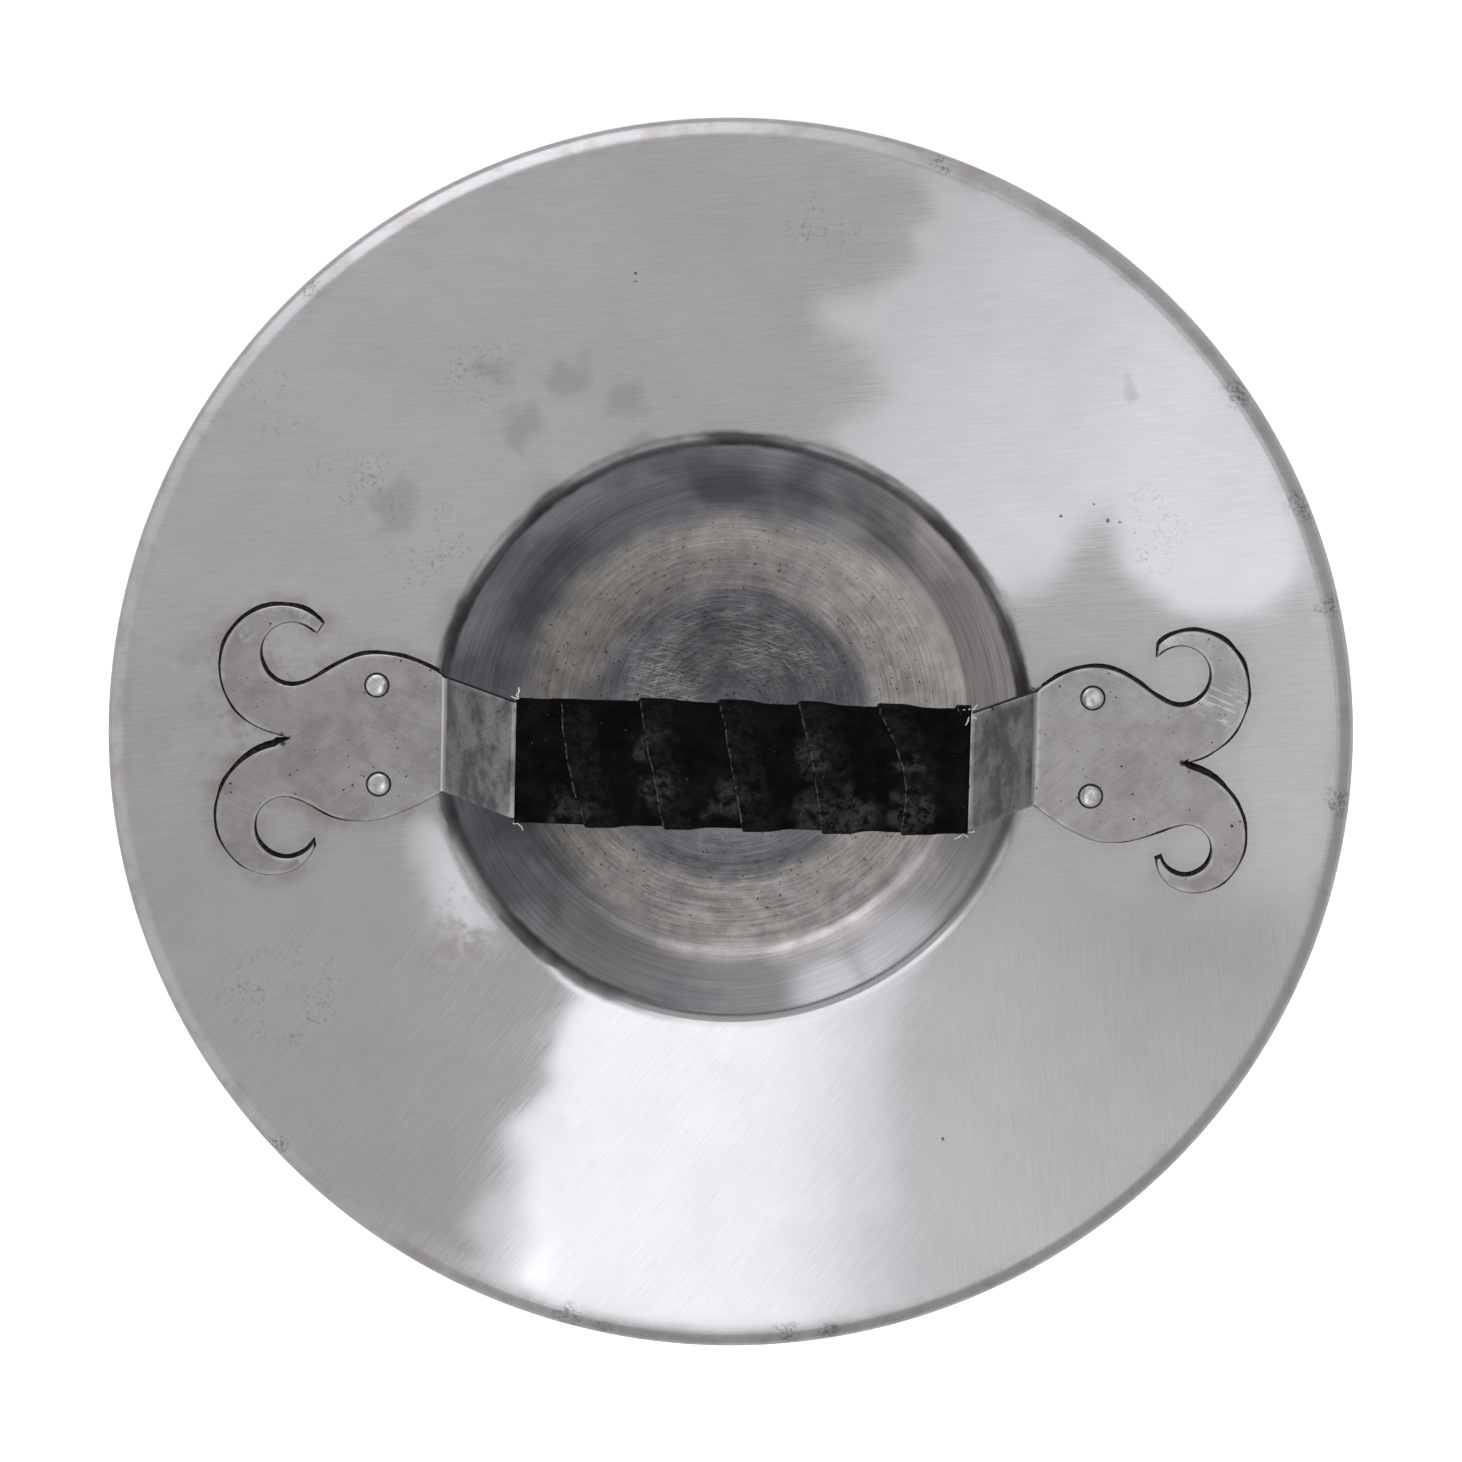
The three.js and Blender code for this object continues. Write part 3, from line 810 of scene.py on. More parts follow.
def sidePath():
    half = strap["thickness"] / 2
    endHeight = strapLow.z + half
    barHeight = strapHigh.z - half
    reach = rimHigh.x
    return roundedPath([
        (Vector((-reach, endHeight)), 0, 0),
        (Vector((strap["bendLeft"], endHeight)), strap["bendRounding"], 8),
        (Vector((strap["barLeft"], barHeight)), strap["barRounding"], 10),
        (Vector((strap["barRight"], barHeight)), strap["barRounding"], 10),
        (Vector((strap["bendRight"], endHeight)), strap["bendRounding"], 8),
        (Vector((reach, endHeight)), 0, 0),
    ])


bentPath = sidePath()
bentNormals = pathNormals(bentPath)
bentAt = [bentPath[0].x]
for pathStart, pathEnd in zip(bentPath, bentPath[1:]):
    bentAt.append(bentAt[-1] + (pathEnd - pathStart).length)
extraLength = bentAt[-1] - bentPath[-1].x


def bent(along, across, side):
    # a point of the flat blank, after bending; side is -1 underneath and 1 on top
    index = min(max(bisect.bisect(bentAt, along) - 1, 0), len(bentAt) - 2)
    share = (along - bentAt[index]) / (bentAt[index + 1] - bentAt[index])
    spot = bentPath[index].lerp(bentPath[index + 1], share)
    out = bentNormals[index].lerp(bentNormals[index + 1], share)
    spot = spot + out * side * strap["thickness"] / 2
    return (spot.x, across, spot.y)


def curlEdge(curl, bend):
    start = Vector((bend, strap["bendHalfWidth"]))
    hump, eye, back = Vector(curl["hump"]), Vector(curl["eye"]), Vector(curl["back"])
    throat = eye - Vector((0, curl["eyeRadius"]))
    edge = cubic(start, start + Vector((5, 3.2)), hump - Vector((7, 0)), hump, 16)
    edge += cubic(hump, hump + Vector((10, 0)), throat + Vector((-7, 0.7)), throat, 18)[1:]
    for step in range(1, 31):
        angle = blendOf(-90, curl["eyeEnd"], step / 30) * degree
        edge.append(eye + polar(curl["eyeRadius"], angle))
    for step in range(41):
        angle = blendOf(curl["backEnd"], notchAngle, step / 40) * degree
        radius = curl["backRadius"] + curl["backGrowth"] * (math.pi / 2 - angle)
        edge.append(back + polar(radius, angle))
    return edge


def blankOutline():
    # anticlockwise, in the flat
    def edge(name, bend, end, side):
        return [Vector((end * p.x, strapMiddle + side * p.y)) for p in curlEdge(curls[name], abs(bend))]

    def notch(name, end):
        return [Vector((end * x, strapMiddle + y)) for x, y in notches[name]]

    bends = strap["bendLeft"], strap["bendRight"]
    right = edge("rightLower", bends[1], 1, -1) + notch("right", 1)[::-1]
    right += edge("rightUpper", bends[1], 1, 1)[::-1]
    left = edge("leftUpper", bends[0], -1, 1) + notch("left", -1)
    left += edge("leftLower", bends[0], -1, -1)[::-1]
    right = [point + Vector((extraLength, 0)) for point in right]
    straight = refined([right[-1], left[0]], strap["longest"])[1:-1]
    back = refined([left[-1], right[0]], strap["longest"])[1:-1]
    return right + straight + left + back


def insideLoop(point, loop, margin):
    inside = False
    for start, end in zip(loop, loop[1:] + loop[:1]):
        if (start.y > point.y) != (end.y > point.y):
            crossing = start.x + (point.y - start.y) * (end.x - start.x) / (end.y - start.y)
            inside = inside != (point.x < crossing)
        if abs(start.x - point.x) < 4 and abs(start.y - point.y) < 4:
            if (start - point).length < margin:
                return False
    return inside


def strapMesh(outline):
    wear = strap["edgeWear"]
    inset = offsetLoop(outline, [-wear] * len(outline))
    inner = []
    spacing = 1.7
    ends = [(bentAt[0], strap["bendLeft"] - 2), (strap["bendRight"] + extraLength + 2, bentAt[-1])]
    for low, high in ends:
        for column in range(int((high - low) / spacing)):
            for row in range(-34, 35):
                spot = Vector((low + column * spacing, strapMiddle + row * spacing * 0.9 + 0.4 * (column % 2)))
                if insideLoop(spot, inset, 1.1):
                    inner.append(spot)
    columns = [at for at in bentAt if strap["bendLeft"] - 2 < at < strap["bendRight"] + extraLength + 2]
    columns = [spot.x for spot in refined([Vector((at, 0)) for at in columns], strap["longest"])]
    rows = [strapMiddle + strap["bendHalfWidth"] * share for share in (-0.85, -0.6, -0.3, 0, 0.3, 0.6, 0.85)]
    inner += [Vector((column, row)) for column in columns for row in rows]
    count = len(inset)
    edges = [(index, (index + 1) % count) for index in range(count)]
    flat, _, triangles, *_ = delaunay_2d_cdt(inset + inner, edges, [], 1, 0.0001)
    if len(flat) != count + len(inner):
        raise ValueError("the strap's outline crosses itself")

    points, marks, faces = [], [], []
    for side in (1, -1):
        for spot in flat:
            x, y, z = bent(spot.x, spot.y, side)
            dent = 0.05 * noise.noise(Vector((x / 9, y / 9, 2.2))) + 0.02 * noise.noise(Vector((x / 3, y / 3,
                                                                                                8)))
            points.append((x, y, z + (dent if side > 0 else 0)))
            marks.append(0)
    for index in range(count):
        marks[index] = marks[len(flat) + index] = 0.6
    shown = 1 - wear / (strap["thickness"] / 2)
    for side in (shown, -shown):
        for spot in outline:
            points.append(bent(spot.x, spot.y, side))
            marks.append(1)
    sheet = len(flat)
    faces += [tuple(triangle) for triangle in triangles]
    faces += [tuple(sheet + corner for corner in triangle[::-1]) for triangle in triangles]
    loops = [0, 2 * sheet, 2 * sheet + count, sheet]
    for upper, lower in zip(loops, loops[1:]):
        for index in range(count):
            following = (index + 1) % count
            faces.append((upper + index, lower + index, lower + following, upper + following))
    mesh = meshOf("gripStrap", points, faces, {"edge": marks})
    return facedOutwards(mesh, strap["crease"])


strapLook = {
    "bare": (0.48, 0.466, 0.455),
    "dull": (0.375, 0.363, 0.352),
    "wornAndHighlight": (0.74, 0.74, 0.74),
    "nearBlack": (0.02, 0.018, 0.016),
    "legLight": (0.54, 0.545, 0.565),
    "legShade": (0.215, 0.225, 0.25),
    "roughness": 0.30,
    "dirtReach": 5.5,
    "fileMarks": (130, 13, 32, 9),
    # dark spots: stains, and painted shade at the notches' ends
    "darkSpots": [(-61.6, 16.0, 66, 1.8), (-66, 17.0, 56, 1.5), (112, 22, 32, 2.6), (106.5, 25.5, 32, 2.6),
                  (68, 16, 60, 1.8), (-118.9, -0.6, 32, 1.3), (-117.0, -1.4, 32, 0.9), (-118.4, -2.8, 32, 1.2),
                  (119.5, -2.4, 32, 1.4), (-99.8, -13.6, 32, 0.6), (-86, -11, 32, 0.5)],
    "highlightAndWear": [(-122, 34, 32, 4), (-114, 33, 32, 3), (-128, 26, 32, 3), (124, 24, 32, 4), (-77, 16, 32, 3)],
}


def strapFinish():
    material, tree, shader = newMaterial("strapSteel", 1, strapLook["roughness"])
    place = coordinates(tree)
    axes = addNode(tree, "ShaderNodeSeparateXYZ", {"Vector": place}).outputs
    edge = mark(tree, "edge")
    long = strokes(tree, place, 38 * degree, 14, 0.5)
    short = strokes(tree, place, -20 * degree, 7, 0.4)
    brushing = mixed(tree, between(tree, clouds(tree, place, 16, 2), 0.4, 0.6), long, short)
    patches = between(tree, clouds(tree, place, 9, 5, 0.65), 0.36, 0.68)
    colour = mixed(tree, patches, strapLook["bare"], strapLook["dull"])
    # the sloping legs get their own mottled colour of painted light and shade
    onLeg = between(tree, axes["Z"], 33, 35)
    legColour = mixed(tree, between(tree, clouds(tree, place, 11, 5, 0.65), 0.38, 0.62),
                      strapLook["legShade"], strapLook["legLight"])
    colour = mixed(tree, onLeg, colour, legColour)
    streaked = between(tree, brushing, 0.3, 0.7, 0.955, 1.045)
    colour = mixed(tree, 1.0, colour, streaked, "MULTIPLY")
    # the bends are painted bright: a painted highlight along each bend, and rubbed wear
    bendHighlight = times(tree, between(tree, axes["Z"], 32.35, 32.6), between(tree, axes["Z"], 35.0, 33.6))
    colour = mixed(tree, times(tree, bendHighlight, 0.9), colour, (0.9, 0.9, 0.9, 1))
    filed = addNode(tree, "ShaderNodeMapping", {"Vector": place, "Rotation": (0, 0, -22 * degree),
                                                "Scale": (5, 0.7, 5)},
                    vector_type="TEXTURE")
    filed = between(tree, clouds(tree, filed.outputs["Vector"], 1, 1.0), 0.55, 0.62)
    filed = times(tree, filed, spots(tree, place, [strapLook["fileMarks"]]))
    colour = mixed(tree, times(tree, filed, 0.7), colour, strapLook["wornAndHighlight"])
    # bright spots on the curls and by the left bend: painted highlight, and wear
    highlightAndWear = times(tree, spots(tree, shaken(tree, place, 4, 4), strapLook["highlightAndWear"]),
                 between(tree, clouds(tree, place, 1.8, 4, 0.7), 0.42, 0.62))
    colour = mixed(tree, times(tree, highlightAndWear, 0.6), colour, strapLook["wornAndHighlight"])
    specks = between(tree, clouds(tree, place, 1.3, 1), 0.72, 0.76)
    dark = larger(tree, specks, spots(tree, shaken(tree, place, 2.5, 3), strapLook["darkSpots"]))
    # the cut edge is painted near black, and its upper corner is rubbed bright
    cut = between(tree, edge, 0.75, 0.98)
    rubbed = times(tree, between(tree, edge, 0.2, 0.6), between(tree, clouds(tree, place, 7, 3), 0.42, 0.6))
    colour = mixed(tree, times(tree, rubbed, 0.5), colour, strapLook["wornAndHighlight"])
    colour = mixed(tree, times(tree, dark, 0.85), colour, strapLook["nearBlack"])
    colour = mixed(tree, times(tree, cut, 0.93), colour, strapLook["nearBlack"])
    tree.links.new(colour, shader.inputs["Base Color"])
    rough = plus(tree, strapLook["roughness"], between(tree, brushing, 0.3, 0.7, -0.05, 0.07))
    rough = plus(tree, rough, times(tree, larger(tree, cut, dark), 0.3))
    tree.links.new(rough, shader.inputs["Roughness"])
    addBump(tree, shader, brushing, 0.2, 0.02)
    return material


def markNearStrap(piece, outline):
    # dirt gathers on the plate close to the fishtails
    tree = kdtree.KDTree(len(outline))
    for index, spot in enumerate(outline):
        tree.insert((spot.x if spot.x < 0 else spot.x - extraLength, spot.y, 0), index)
    tree.balance()
    marks = []
    for vertex in piece.data.vertices:
        x, y, z = vertex.co / mm
        onGripSide = z > rimHigh.z - plate["thickness"] / 2 and 79 < math.hypot(x, y) < 150 and abs(y) < 50
        far = tree.find((x, y, 0))[2] if onGripSide else 99
        marks.append(1 - smoothStep(far, 0.5, strapLook["dirtReach"]))
    layer = piece.data.attributes.new("nearStrap", "FLOAT", "POINT")
    layer.data.foreach_set("value", marks)


strapOutline = blankOutline()
markNearStrap(shieldPlate, strapOutline)
gripStrap = newPiece("gripStrap", strapMesh(strapOutline), strapFinish())
finished(gripStrap, "root", "strap_steel", "grip_strap")


# Painted contact shadow and grime along the fishtails' edges

shadowAndGrime = {"least": 0.12, "most": 0.95, "notch": 1.5, "height": 0.7, "colour": (0.004, 0.0035, 0.003)}


def shadowAndGrimeMesh():
    # a thin dark fillet on the plate, painted contact shadow and grime, wider on the upper and outer edges and in
    # the notches
    loop = strapOutline
    flat = [index for index, point in enumerate(loop)
            if not strap["bendLeft"] - 1 < point.x < strap["bendRight"] + extraLength + 1]
    widths = []
    for index, point in enumerate(loop):
        along = (loop[(index + 1) % len(loop)] - loop[index - 1]).normalized()
        facing = Vector((along.y, -along.x))
        outwards = math.copysign(1, point.x) * facing.x
        share = smoothStep(max(facing.y, 0.8 * outwards), -0.5, 0.7)
        share *= 0.75 + 0.5 * noise.noise(Vector((point.x / 5, point.y / 5, 1.3)))
        width = blendOf(shadowAndGrime["least"], shadowAndGrime["most"], share)
        below = strapMiddle - 2.5 - point.y
        if -1 < below < 9 and facing.y > 0:
            width = blendOf(shadowAndGrime["notch"], width, smoothStep(below, 2, 9))
        widths.append(width)
    outer = offsetLoop(loop, widths)
    under = offsetLoop(loop, [-0.15] * len(loop))
    foot = rimHigh.z + 0.01

    def ringPoint(spot, height):
        x = spot.x if spot.x < 0 else spot.x - extraLength
        return (x, spot.y, foot + height)

    points, faces = [], []
    runs = []
    for index in flat:
        if runs and index == runs[-1][-1] + 1:
            runs[-1].append(index)
        else:
            runs.append([index])
    if len(runs) > 1 and runs[0][0] == 0 and runs[-1][-1] == len(loop) - 1:
        runs[0] = runs.pop() + runs[0]
    for run in runs:
        first = len(points)
        for index in run:
            points += [ringPoint(outer[index], 0), ringPoint(loop[index], shadowAndGrime["height"]),
                       ringPoint(under[index], shadowAndGrime["height"] * 0.9), ringPoint(under[index], 0)]
        for step in range(len(run) - 1):
            a = first + step * 4
            for corner in range(4):
                following = (corner + 1) % 4
                faces.append((a + corner, a + 4 + corner, a + 4 + following, a + following))
        last = first + (len(run) - 1) * 4
        faces.append((first, first + 1, first + 2, first + 3))
        faces.append((last + 3, last + 2, last + 1, last))
    mesh = meshOf("edgeShadowAndGrime", points, faces)
    return facedOutwards(mesh)


def shadowAndGrimeFinish():
    material, tree, shader = newMaterial("shadowAndGrimeFill", 0, 0.75)
    place = coordinates(tree)
    share = between(tree, clouds(tree, place, 1.2, 3), 0.35, 0.7)
    colour = mixed(tree, share, shadowAndGrime["colour"], (0.018, 0.016, 0.013, 1))
    tree.links.new(colour, shader.inputs["Base Color"])
    shader.inputs["Specular IOR Level"].default_value = 0.1
    addBump(tree, shader, clouds(tree, place, 0.4, 2), 0.5, 0.1)
    return material


shadowAndGrimeMaterial = shadowAndGrimeFinish()
edgeShadowAndGrime = newPiece("edgeShadowAndGrime", shadowAndGrimeMesh(), shadowAndGrimeMaterial)
finished(edgeShadowAndGrime, "root", None)


# Rivets

rivets = {
    "headRadius": 3.0,
    "headHeight": 1.55,
    "shankRadius": 2,
    "tailRadius": 3.3,
    "tailHeight": 1.0,
    "ringRadius": 3.1,
    "ringThickness": 0.28,
    "hammered": 0.12,
    "segments": 40,
}


def nodeGroup(name, inputs):
    tree = bpy.data.node_groups.new(name, "GeometryNodeTree")
    tree.interface.new_socket("Geometry", in_out="INPUT", socket_type="NodeSocketGeometry")
    for title, (kind, value) in inputs.items():
        socket = tree.interface.new_socket(title, in_out="INPUT", socket_type=kind)
        if value is not None:
            socket.default_value = value
    tree.interface.new_socket("Geometry", in_out="OUTPUT", socket_type="NodeSocketGeometry")
    return tree, tree.nodes.new("NodeGroupInput"), tree.nodes.new("NodeGroupOutput")


def applyGroup(piece, tree, values):
    modifier = piece.modifiers.new(tree.name, "NODES")
    modifier.node_group = tree
    for socket in tree.interface.items_tree:
        if socket.in_out == "INPUT" and socket.name in values:
            modifier[socket.identifier] = values[socket.name]
    return plainMesh(piece)


def rivetTree():
    number = "NodeSocketFloat"
    material = "NodeSocketMaterial"
    tree, given, result = nodeGroup("rivetRow", {
        "Head radius": (number, 0.003), "Head height": (number, 0.0015), "Shank radius": (number, 0.002),
        "Shank length": (number, 0.004), "Tail radius": (number, 0.0033), "Tail height": (number, 0.001),
        "Ring radius": (number, 0.003), "Ring thickness": (number, 0.0002), "Hammered": (number, 0.0001),
        "Segments": ("NodeSocketInt", 40), "Steel": (material, None), "ShadowAndGrime": (material, None),
    })
    size = given.outputs
    minus = times(tree, size["Shank length"], -1.0)

    def vectorOf(x, y, z):
        return addNode(tree, "ShaderNodeCombineXYZ", {"X": x, "Y": y, "Z": z}).outputs["Vector"]

    def placed(geometry, **inputs):
        made = addNode(tree, "GeometryNodeTransform", {"Geometry": geometry})
        for name, value in inputs.items():
            feed(tree, made.inputs[name], value)
        return made.outputs["Geometry"]

    ball = addNode(tree, "GeometryNodeMeshUVSphere", {"Segments": size["Segments"], "Rings": 20, "Radius": 1.0})
    head = placed(ball.outputs["Mesh"], Scale=vectorOf(size["Head radius"], size["Head radius"],
                                                       size["Head height"]))
    shank = addNode(tree, "GeometryNodeMeshCylinder", {
        "Vertices": size["Segments"], "Radius": size["Shank radius"], "Depth": size["Shank length"]})
    shank = placed(shank.outputs["Mesh"], Translation=vectorOf(0.0, 0.0, times(tree, minus, 0.5)))
    tail = placed(ball.outputs["Mesh"], Translation=vectorOf(0.0, 0.0, minus),
                  Scale=vectorOf(size["Tail radius"], size["Tail radius"], size["Tail height"]))
    steel = addNode(tree, "GeometryNodeJoinGeometry")
    for part in (head, shank, tail):
        tree.links.new(part, steel.inputs["Geometry"])
    # hammering leaves each one a little uneven
    where = addNode(tree, "GeometryNodeInputPosition").outputs["Position"]
    points = addNode(tree, "GeometryNodeInstanceOnPoints", {"Points": size["Geometry"],
                                                            "Instance": steel.outputs["Geometry"]})
    spin = addNode(tree, "FunctionNodeRandomValue", {"Min": (-0.05, -0.05, 0.0), "Max": (0.05, 0.05, 6.28),
                                                     "Seed": 3},
                   data_type="FLOAT_VECTOR")
    tree.links.new(spin.outputs["Value"], points.inputs["Rotation"])
    real = addNode(tree, "GeometryNodeRealizeInstances", {"Geometry": points.outputs["Instances"]})
    bumps = addNode(tree, "ShaderNodeTexNoise", {"Vector": where, "Scale": 420.0, "Detail": 1.0})
    shift = vectorCalc(tree, "SUBTRACT", bumps.outputs["Color"], (0.5, 0.5, 0.5))
    shift = addNode(tree, "ShaderNodeVectorMath", {0: shift, "Scale": size["Hammered"]}, operation="SCALE")
    uneven = addNode(tree, "GeometryNodeSetPosition", {"Geometry": real.outputs["Geometry"],
                                                       "Offset": shift.outputs["Vector"]})
    smooth = addNode(tree, "GeometryNodeSetShadeSmooth", {"Geometry": uneven.outputs["Geometry"],
                                                          "Shade Smooth": True})
    steelSet = addNode(tree, "GeometryNodeSetMaterial", {"Geometry": smooth.outputs["Geometry"],
                                                         "Material": size["Steel"]})
    # a dark ring round each head: painted contact shadow and grime
    circle = addNode(tree, "GeometryNodeCurvePrimitiveCircle", {"Resolution": size["Segments"],
                                                                "Radius": size["Ring radius"]})
    section = addNode(tree, "GeometryNodeCurvePrimitiveCircle", {"Resolution": 8,
                                                                 "Radius": size["Ring thickness"]})
    ring = addNode(tree, "GeometryNodeCurveToMesh", {"Curve": circle.outputs["Curve"],
                                                     "Profile Curve": section.outputs["Curve"]})
    rings = addNode(tree, "GeometryNodeInstanceOnPoints", {"Points": size["Geometry"],
                                                           "Instance": ring.outputs["Mesh"]})
    realRings = addNode(tree, "GeometryNodeRealizeInstances", {"Geometry": rings.outputs["Instances"]})
    shadowAndGrimeSet = addNode(tree, "GeometryNodeSetMaterial", {"Geometry": realRings.outputs["Geometry"],
                                                         "Material": size["ShadowAndGrime"]})
    both = addNode(tree, "GeometryNodeJoinGeometry")
    tree.links.new(steelSet.outputs["Geometry"], both.inputs["Geometry"])
    tree.links.new(shadowAndGrimeSet.outputs["Geometry"], both.inputs["Geometry"])
    tree.links.new(both.outputs["Geometry"], result.inputs["Geometry"])
    return tree


def rivetFinish():
    material, tree, shader = newMaterial("rivetSteel", 1, 0.24)
    place = coordinates(tree)
    patches = between(tree, clouds(tree, place, 2.2, 4, 0.6), 0.4, 0.7)
    colour = mixed(tree, patches, (0.72, 0.72, 0.71, 1), (0.50, 0.49, 0.47, 1))
    tree.links.new(colour, shader.inputs["Base Color"])
    tree.links.new(between(tree, clouds(tree, place, 1.1, 3), 0.3, 0.7, 0.18, 0.34), shader.inputs["Roughness"])
    addBump(tree, shader, clouds(tree, place, 0.9, 3), 0.4, 0.05)
    return material


def rivetPlaces():
    places = []
    for name in rivetNames:
        low, high = inMm(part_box(name))
        places.append(((low.x + high.x) / 2, (low.y + high.y) / 2, strapLow.z + strap["thickness"] + 0.05))
    return places


rivetRow = newPiece("rivetRow", meshOf("rivetRow", rivetPlaces(), []), None)
applyGroup(rivetRow, rivetTree(), {
    "Head radius": rivets["headRadius"] * mm, "Head height": rivets["headHeight"] * mm,
    "Shank radius": rivets["shankRadius"] * mm, "Shank length": (strap["thickness"] + plate["thickness"] + 0.4) * mm,
    "Tail radius": rivets["tailRadius"] * mm, "Tail height": rivets["tailHeight"] * mm,
    "Ring radius": rivets["ringRadius"] * mm, "Ring thickness": rivets["ringThickness"] * mm,
    "Hammered": rivets["hammered"] * mm, "Segments": rivets["segments"],
    "Steel": rivetFinish(), "ShadowAndGrime": shadowAndGrimeMaterial,
})
finished(rivetRow, "root", "rivet_steel", *rivetNames)


# The leather: one thong wound along the bar

wrap = {
    "leather": 0.9,
    "corner": 1.5,
    "pitch": 20.6,
    "slant": 6.2,
    "firstEdge": -44.4,
    "edges": 5,
    "bows": [-1.2, -0.3, 0.2, 0.6, 3.4],  # how far each edge bows to the right, halfway across
}
turnShape = [(0.0, 0.0), (0.004, 0.55), (0.014, 0.9), (0.03, 1.0), (0.08, 0.96), (0.15, 0.92), (0.22, 0.9),
             (0.30, 0.88), (0.38, 0.72), (0.46, 0.4), (0.54, 0.15), (0.62, 0.03), (0.70, 0.0), (0.80, 0.0),
             (0.88, 0.0), (0.94, 0.0), (0.975, 0.0), (0.992, 0.0)]


def wrapSection():
    # round the bar once, from its upper side over the top: place, way out, and how far the turn has run
    halfWidth = strap["bendHalfWidth"] + 0.3 + wrap["leather"]
    halfHeight = strap["thickness"] / 2 + 0.3 + wrap["leather"]
    corner = wrap["corner"]
    section = []
    acrossSteps, cornerSteps = 34, 6
    for side in (1, -1):
        for step in range(acrossSteps + 1):
            share = step / acrossSteps
            y = side * blendOf(halfWidth - corner, corner - halfWidth, share)
            run = share * wrap["slant"] if side > 0 else blendOf(wrap["slant"] + 1, wrap["pitch"] - 1, share)
            section.append((Vector((y, side * halfHeight)), Vector((0, side)), run))
        for step in range(1, cornerSteps):
            centre = Vector((-side * (halfWidth - corner), 0))
            way = Vector((-side * math.sin(math.pi * step / cornerSteps),
                          side * math.cos(math.pi * step / cornerSteps)))
            start = wrap["slant"] if side > 0 else wrap["pitch"] - 1
            section.append((centre + Vector((way.x * corner, way.y * halfHeight)), way,
                            start + step / cornerSteps))
    return section


def bowOf(turn, across):
    bows = wrap["bows"]
    bow = bows[min(max(turn, 0), len(bows) - 1)]
    return bow * (1 - across * across)


def wrapSpot(turn, part, spot, way, run, lift):
    barMiddle = Vector((strapMiddle, strapHigh.z - strap["thickness"] / 2))
    halfWidth = strap["bendHalfWidth"]
    across = max(-1, min(1, spot.x / halfWidth))
    bow = blendOf(bowOf(turn, across), bowOf(turn + 1, across), part) if spot.y > 0 else 0
    x = wrap["firstEdge"] + wrap["pitch"] * (turn + part) + run + bow
    x += 0.35 * noise.noise(Vector((across * 3, turn * 5.1, 7.7))) * (1 - part)
    uneven = 0.28 * noise.noise(Vector((x / 8, spot.x / 9, 3.1 * math.copysign(1, spot.y))))
    uneven += 0.10 * noise.noise(Vector((x / 2.6, spot.x / 3, 5)))
    out = lift * wrap["leather"] + uneven
    return (x, barMiddle.x + spot.x + way.x * out, barMiddle.y + spot.y + way.y * out)


def wrapMesh():
    section = wrapSection()
    count, perTurn = len(section), len(turnShape)
    firstTurn = math.floor((wrapLow.x - wrap["firstEdge"]) / wrap["pitch"]) - 2
    lastTurn = math.ceil((wrapHigh.x - wrap["firstEdge"]) / wrap["pitch"]) + 1
    work = bmesh.new()
    raised, lip = work.verts.layers.float.new("raised"), work.verts.layers.float.new("lip")
    rows = []
    for turn in range(firstTurn, lastTurn + 1):
        lapped = 0 <= turn < wrap["edges"]
        for part, lift in turnShape:
            row = []
            for spot, way, run in section:
                vert = work.verts.new(Vector(wrapSpot(turn, part, spot, way, run, lift if lapped else 0)) * mm)
                vert[raised] = lift if lapped else 0
                vert[lip] = 1.0 if lapped and 0.002 < part < 0.02 else 0.0
                row.append(vert)
            rows.append(row)
    for index in range(len(rows) - perTurn - 1):
        near, far = rows[index], rows[index + 1]
        near = near + [rows[index + perTurn][0]]
        far = far + [rows[index + perTurn + 1][0]]
        for step in range(count):
            work.faces.new((near[step], far[step], far[step + 1], near[step + 1]))
    for edge, way in ((wrapLow.x, -1), (wrapHigh.x, 1)):
        bmesh.ops.bisect_plane(work, geom=work.verts[:] + work.edges[:] + work.faces[:], dist=1e-7,
                               plane_co=(edge * mm, 0, 0), plane_no=(way, 0, 0), clear_outer=True)
    loose = [vert for vert in work.verts if not vert.link_faces]
    bmesh.ops.delete(work, geom=loose, context="VERTS")
    bmesh.ops.recalc_face_normals(work, faces=work.faces)
    mesh = bpy.data.meshes.new("leatherWrap")
    work.to_mesh(mesh)
    work.free()
    mesh.shade_smooth()
    return mesh


leatherLook = {
    "black": (0.0006, 0.0005, 0.0004),
    "grey": (0.0022, 0.0021, 0.0020),
    "scuffed": (0.030, 0.031, 0.034),
    "rawEdge": (0.060, 0.060, 0.058),
    "roughness": 0.66,
    # grey rubbed places: x, y, z, radius
    "rubbed": [(-19, -6, 71, 8), (-21, 6, 72, 5), (0, -8, 72, 7), (22, 4, 72, 7), (24, -12, 72, 9),
               (34, -12, 72, 9), (45, 4, 72, 6), (47, -10, 72, 8), (-42, -13, 72, 7)],
}


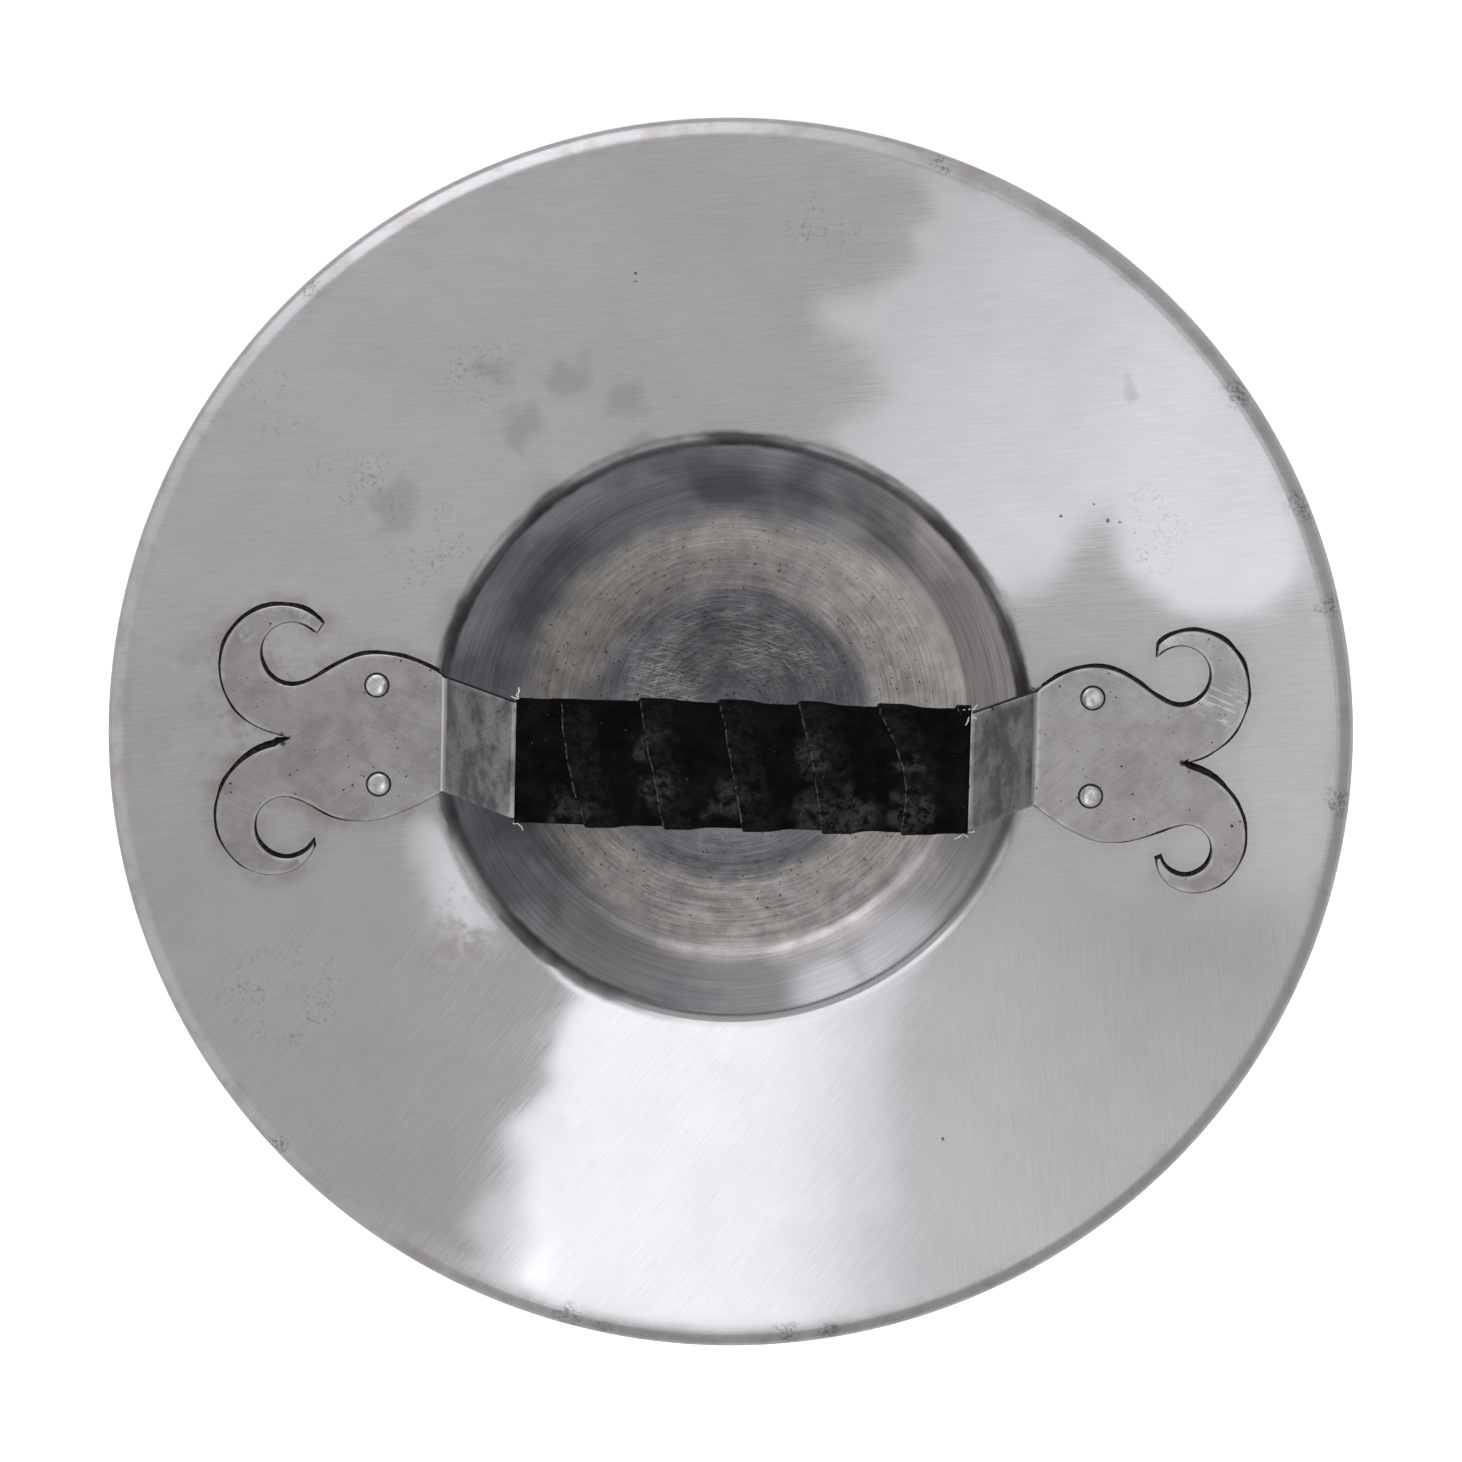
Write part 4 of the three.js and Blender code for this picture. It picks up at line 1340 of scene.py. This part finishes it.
def leatherFinish():
    material, tree, shader = newMaterial("gripLeather", 0, leatherLook["roughness"])
    place = coordinates(tree)
    raised = mark(tree, "raised")
    lip = mark(tree, "lip")
    cloudy = between(tree, clouds(tree, place, 9, 5, 0.65), 0.4, 0.66)
    colour = mixed(tree, cloudy, leatherLook["black"], leatherLook["grey"])
    rubbed = spots(tree, shaken(tree, place, 8, 15), leatherLook["rubbed"])
    scuffs = times(tree, between(tree, clouds(tree, place, 2.6, 6, 0.75), 0.40, 0.62),
                  larger(tree, rubbed, between(tree, raised, 0.3, 0.95, 0.0, 0.22)))
    colour = mixed(tree, times(tree, scuffs, 0.5), colour, leatherLook["scuffed"])
    flecks = times(tree, between(tree, clouds(tree, place, 0.9, 1), 0.76, 0.81), 0.35)
    raw = times(tree, lip, between(tree, clouds(tree, place, 1.3, 4, 0.7), 0.40, 0.62))
    raw = larger(tree, flecks, times(tree, raw, 0.7))
    colour = mixed(tree, raw, colour, leatherLook["rawEdge"])
    tree.links.new(colour, shader.inputs["Base Color"])
    shader.inputs["Specular IOR Level"].default_value = 0.045
    grain = addNode(tree, "ShaderNodeTexVoronoi", {"Vector": place, "Scale": 1.1}).outputs["Distance"]
    height = plus(tree, grain, times(tree, clouds(tree, place, 1.6, 3, 0.7), 1.5))
    addBump(tree, shader, height, 0.6, 0.12)
    tree.links.new(between(tree, scuffs, 0, 1, leatherLook["roughness"], 0.8), shader.inputs["Roughness"])
    return material


leatherWrap = newPiece("leatherWrap", wrapMesh(), leatherFinish())
thicken = leatherWrap.modifiers.new("thicken", "SOLIDIFY")
thicken.thickness = wrap["leather"] * mm
thicken.offset = -1
plainMesh(leatherWrap)
finished(leatherWrap, "root", "grip_leather", "leather_wrap")


# Thread ends: small tufts at the leather's corners, no part of any body's solid

threads = {
    "tufts": [(-55.5, 17.0, 71.2), (61.6, 15.6, 71.6), (61.8, 16.6, 70.8), (61.0, -15.8, 70.2), (-55.0,
                                                                                                 -15.8, 70.6)],
    "perTuft": 4,
    "length": 2.7,
    "thickness": 0.16,
    "curl": 1.5,
    "colour": (0.42, 0.40, 0.37),
}


def threadTree():
    number = "NodeSocketFloat"
    tree, given, result = nodeGroup("threadEnds", {
        "Per tuft": ("NodeSocketInt", 5), "Length": (number, 0.004), "Thickness": (number, 0.0001),
        "Curl": (number, 0.001), "Material": ("NodeSocketMaterial", None),
    })
    size = given.outputs
    # each tuft's point becomes several threads
    copies = addNode(tree, "GeometryNodeDuplicateElements", {"Geometry": size["Geometry"],
                                                             "Amount": size["Per tuft"]},
                     domain="POINT")
    end = addNode(tree, "ShaderNodeCombineXYZ", {"Z": size["Length"]})
    line = addNode(tree, "GeometryNodeCurvePrimitiveLine", {"End": end.outputs["Vector"]})
    fine = addNode(tree, "GeometryNodeResampleCurve", {"Curve": line.outputs["Curve"], "Count": 14})
    turn = addNode(tree, "FunctionNodeRandomValue", {"Min": (-1.9, -1.9, 0.0), "Max": (1.9, 1.9, 6.28),
                                                     "Seed": 11},
                   data_type="FLOAT_VECTOR")
    longer = addNode(tree, "FunctionNodeRandomValue", {"Min": 0.35, "Max": 1.1, "Seed": 5}, data_type="FLOAT")
    placed = addNode(tree, "GeometryNodeInstanceOnPoints", {
        "Points": copies.outputs["Geometry"], "Instance": fine.outputs["Curve"], "Rotation": turn.outputs["Value"],
        "Scale": longer.outputs[1]})
    real = addNode(tree, "GeometryNodeRealizeInstances", {"Geometry": placed.outputs["Instances"]})
    along = addNode(tree, "GeometryNodeSplineParameter").outputs["Factor"]
    where = addNode(tree, "GeometryNodeInputPosition").outputs["Position"]
    waves = addNode(tree, "ShaderNodeTexNoise", {"Vector": where, "Scale": 520.0, "Detail": 1.0})
    push = vectorCalc(tree, "SUBTRACT", waves.outputs["Color"], (0.5, 0.5, 0.5))
    reach = times(tree, times(tree, along, size["Curl"]), 2.0)
    push = addNode(tree, "ShaderNodeVectorMath", {0: push, "Scale": reach}, operation="SCALE")
    curled = addNode(tree, "GeometryNodeSetPosition", {"Geometry": real.outputs["Geometry"],
                                                       "Offset": push.outputs["Vector"]})
    section = addNode(tree, "GeometryNodeCurvePrimitiveCircle", {"Resolution": 6, "Radius": size["Thickness"]})
    tube = addNode(tree, "GeometryNodeCurveToMesh", {
        "Curve": curled.outputs["Geometry"], "Profile Curve": section.outputs["Curve"], "Fill Caps": True})
    smooth = addNode(tree, "GeometryNodeSetShadeSmooth", {"Geometry": tube.outputs["Mesh"],
                                                          "Shade Smooth": True})
    dressed = addNode(tree, "GeometryNodeSetMaterial", {"Geometry": smooth.outputs["Geometry"],
                                                        "Material": size["Material"]})
    tree.links.new(dressed.outputs["Geometry"], result.inputs["Geometry"])
    return tree


def threadFinish():
    material, tree, shader = newMaterial("threadEnds", 0, 0.8)
    share = clouds(tree, coordinates(tree), 2.0, 2)
    tree.links.new(mixed(tree, share, threads["colour"], (0.2, 0.19, 0.17, 1)), shader.inputs["Base Color"])
    return material


threadEnds = newPiece("threadEnds", meshOf("threadEnds", threads["tufts"], []), None)
applyGroup(threadEnds, threadTree(), {
    "Per tuft": threads["perTuft"], "Length": threads["length"] * mm, "Thickness": threads["thickness"] * mm,
    "Curl": threads["curl"] * mm, "Material": threadFinish(),
})
finished(threadEnds, "root", None)
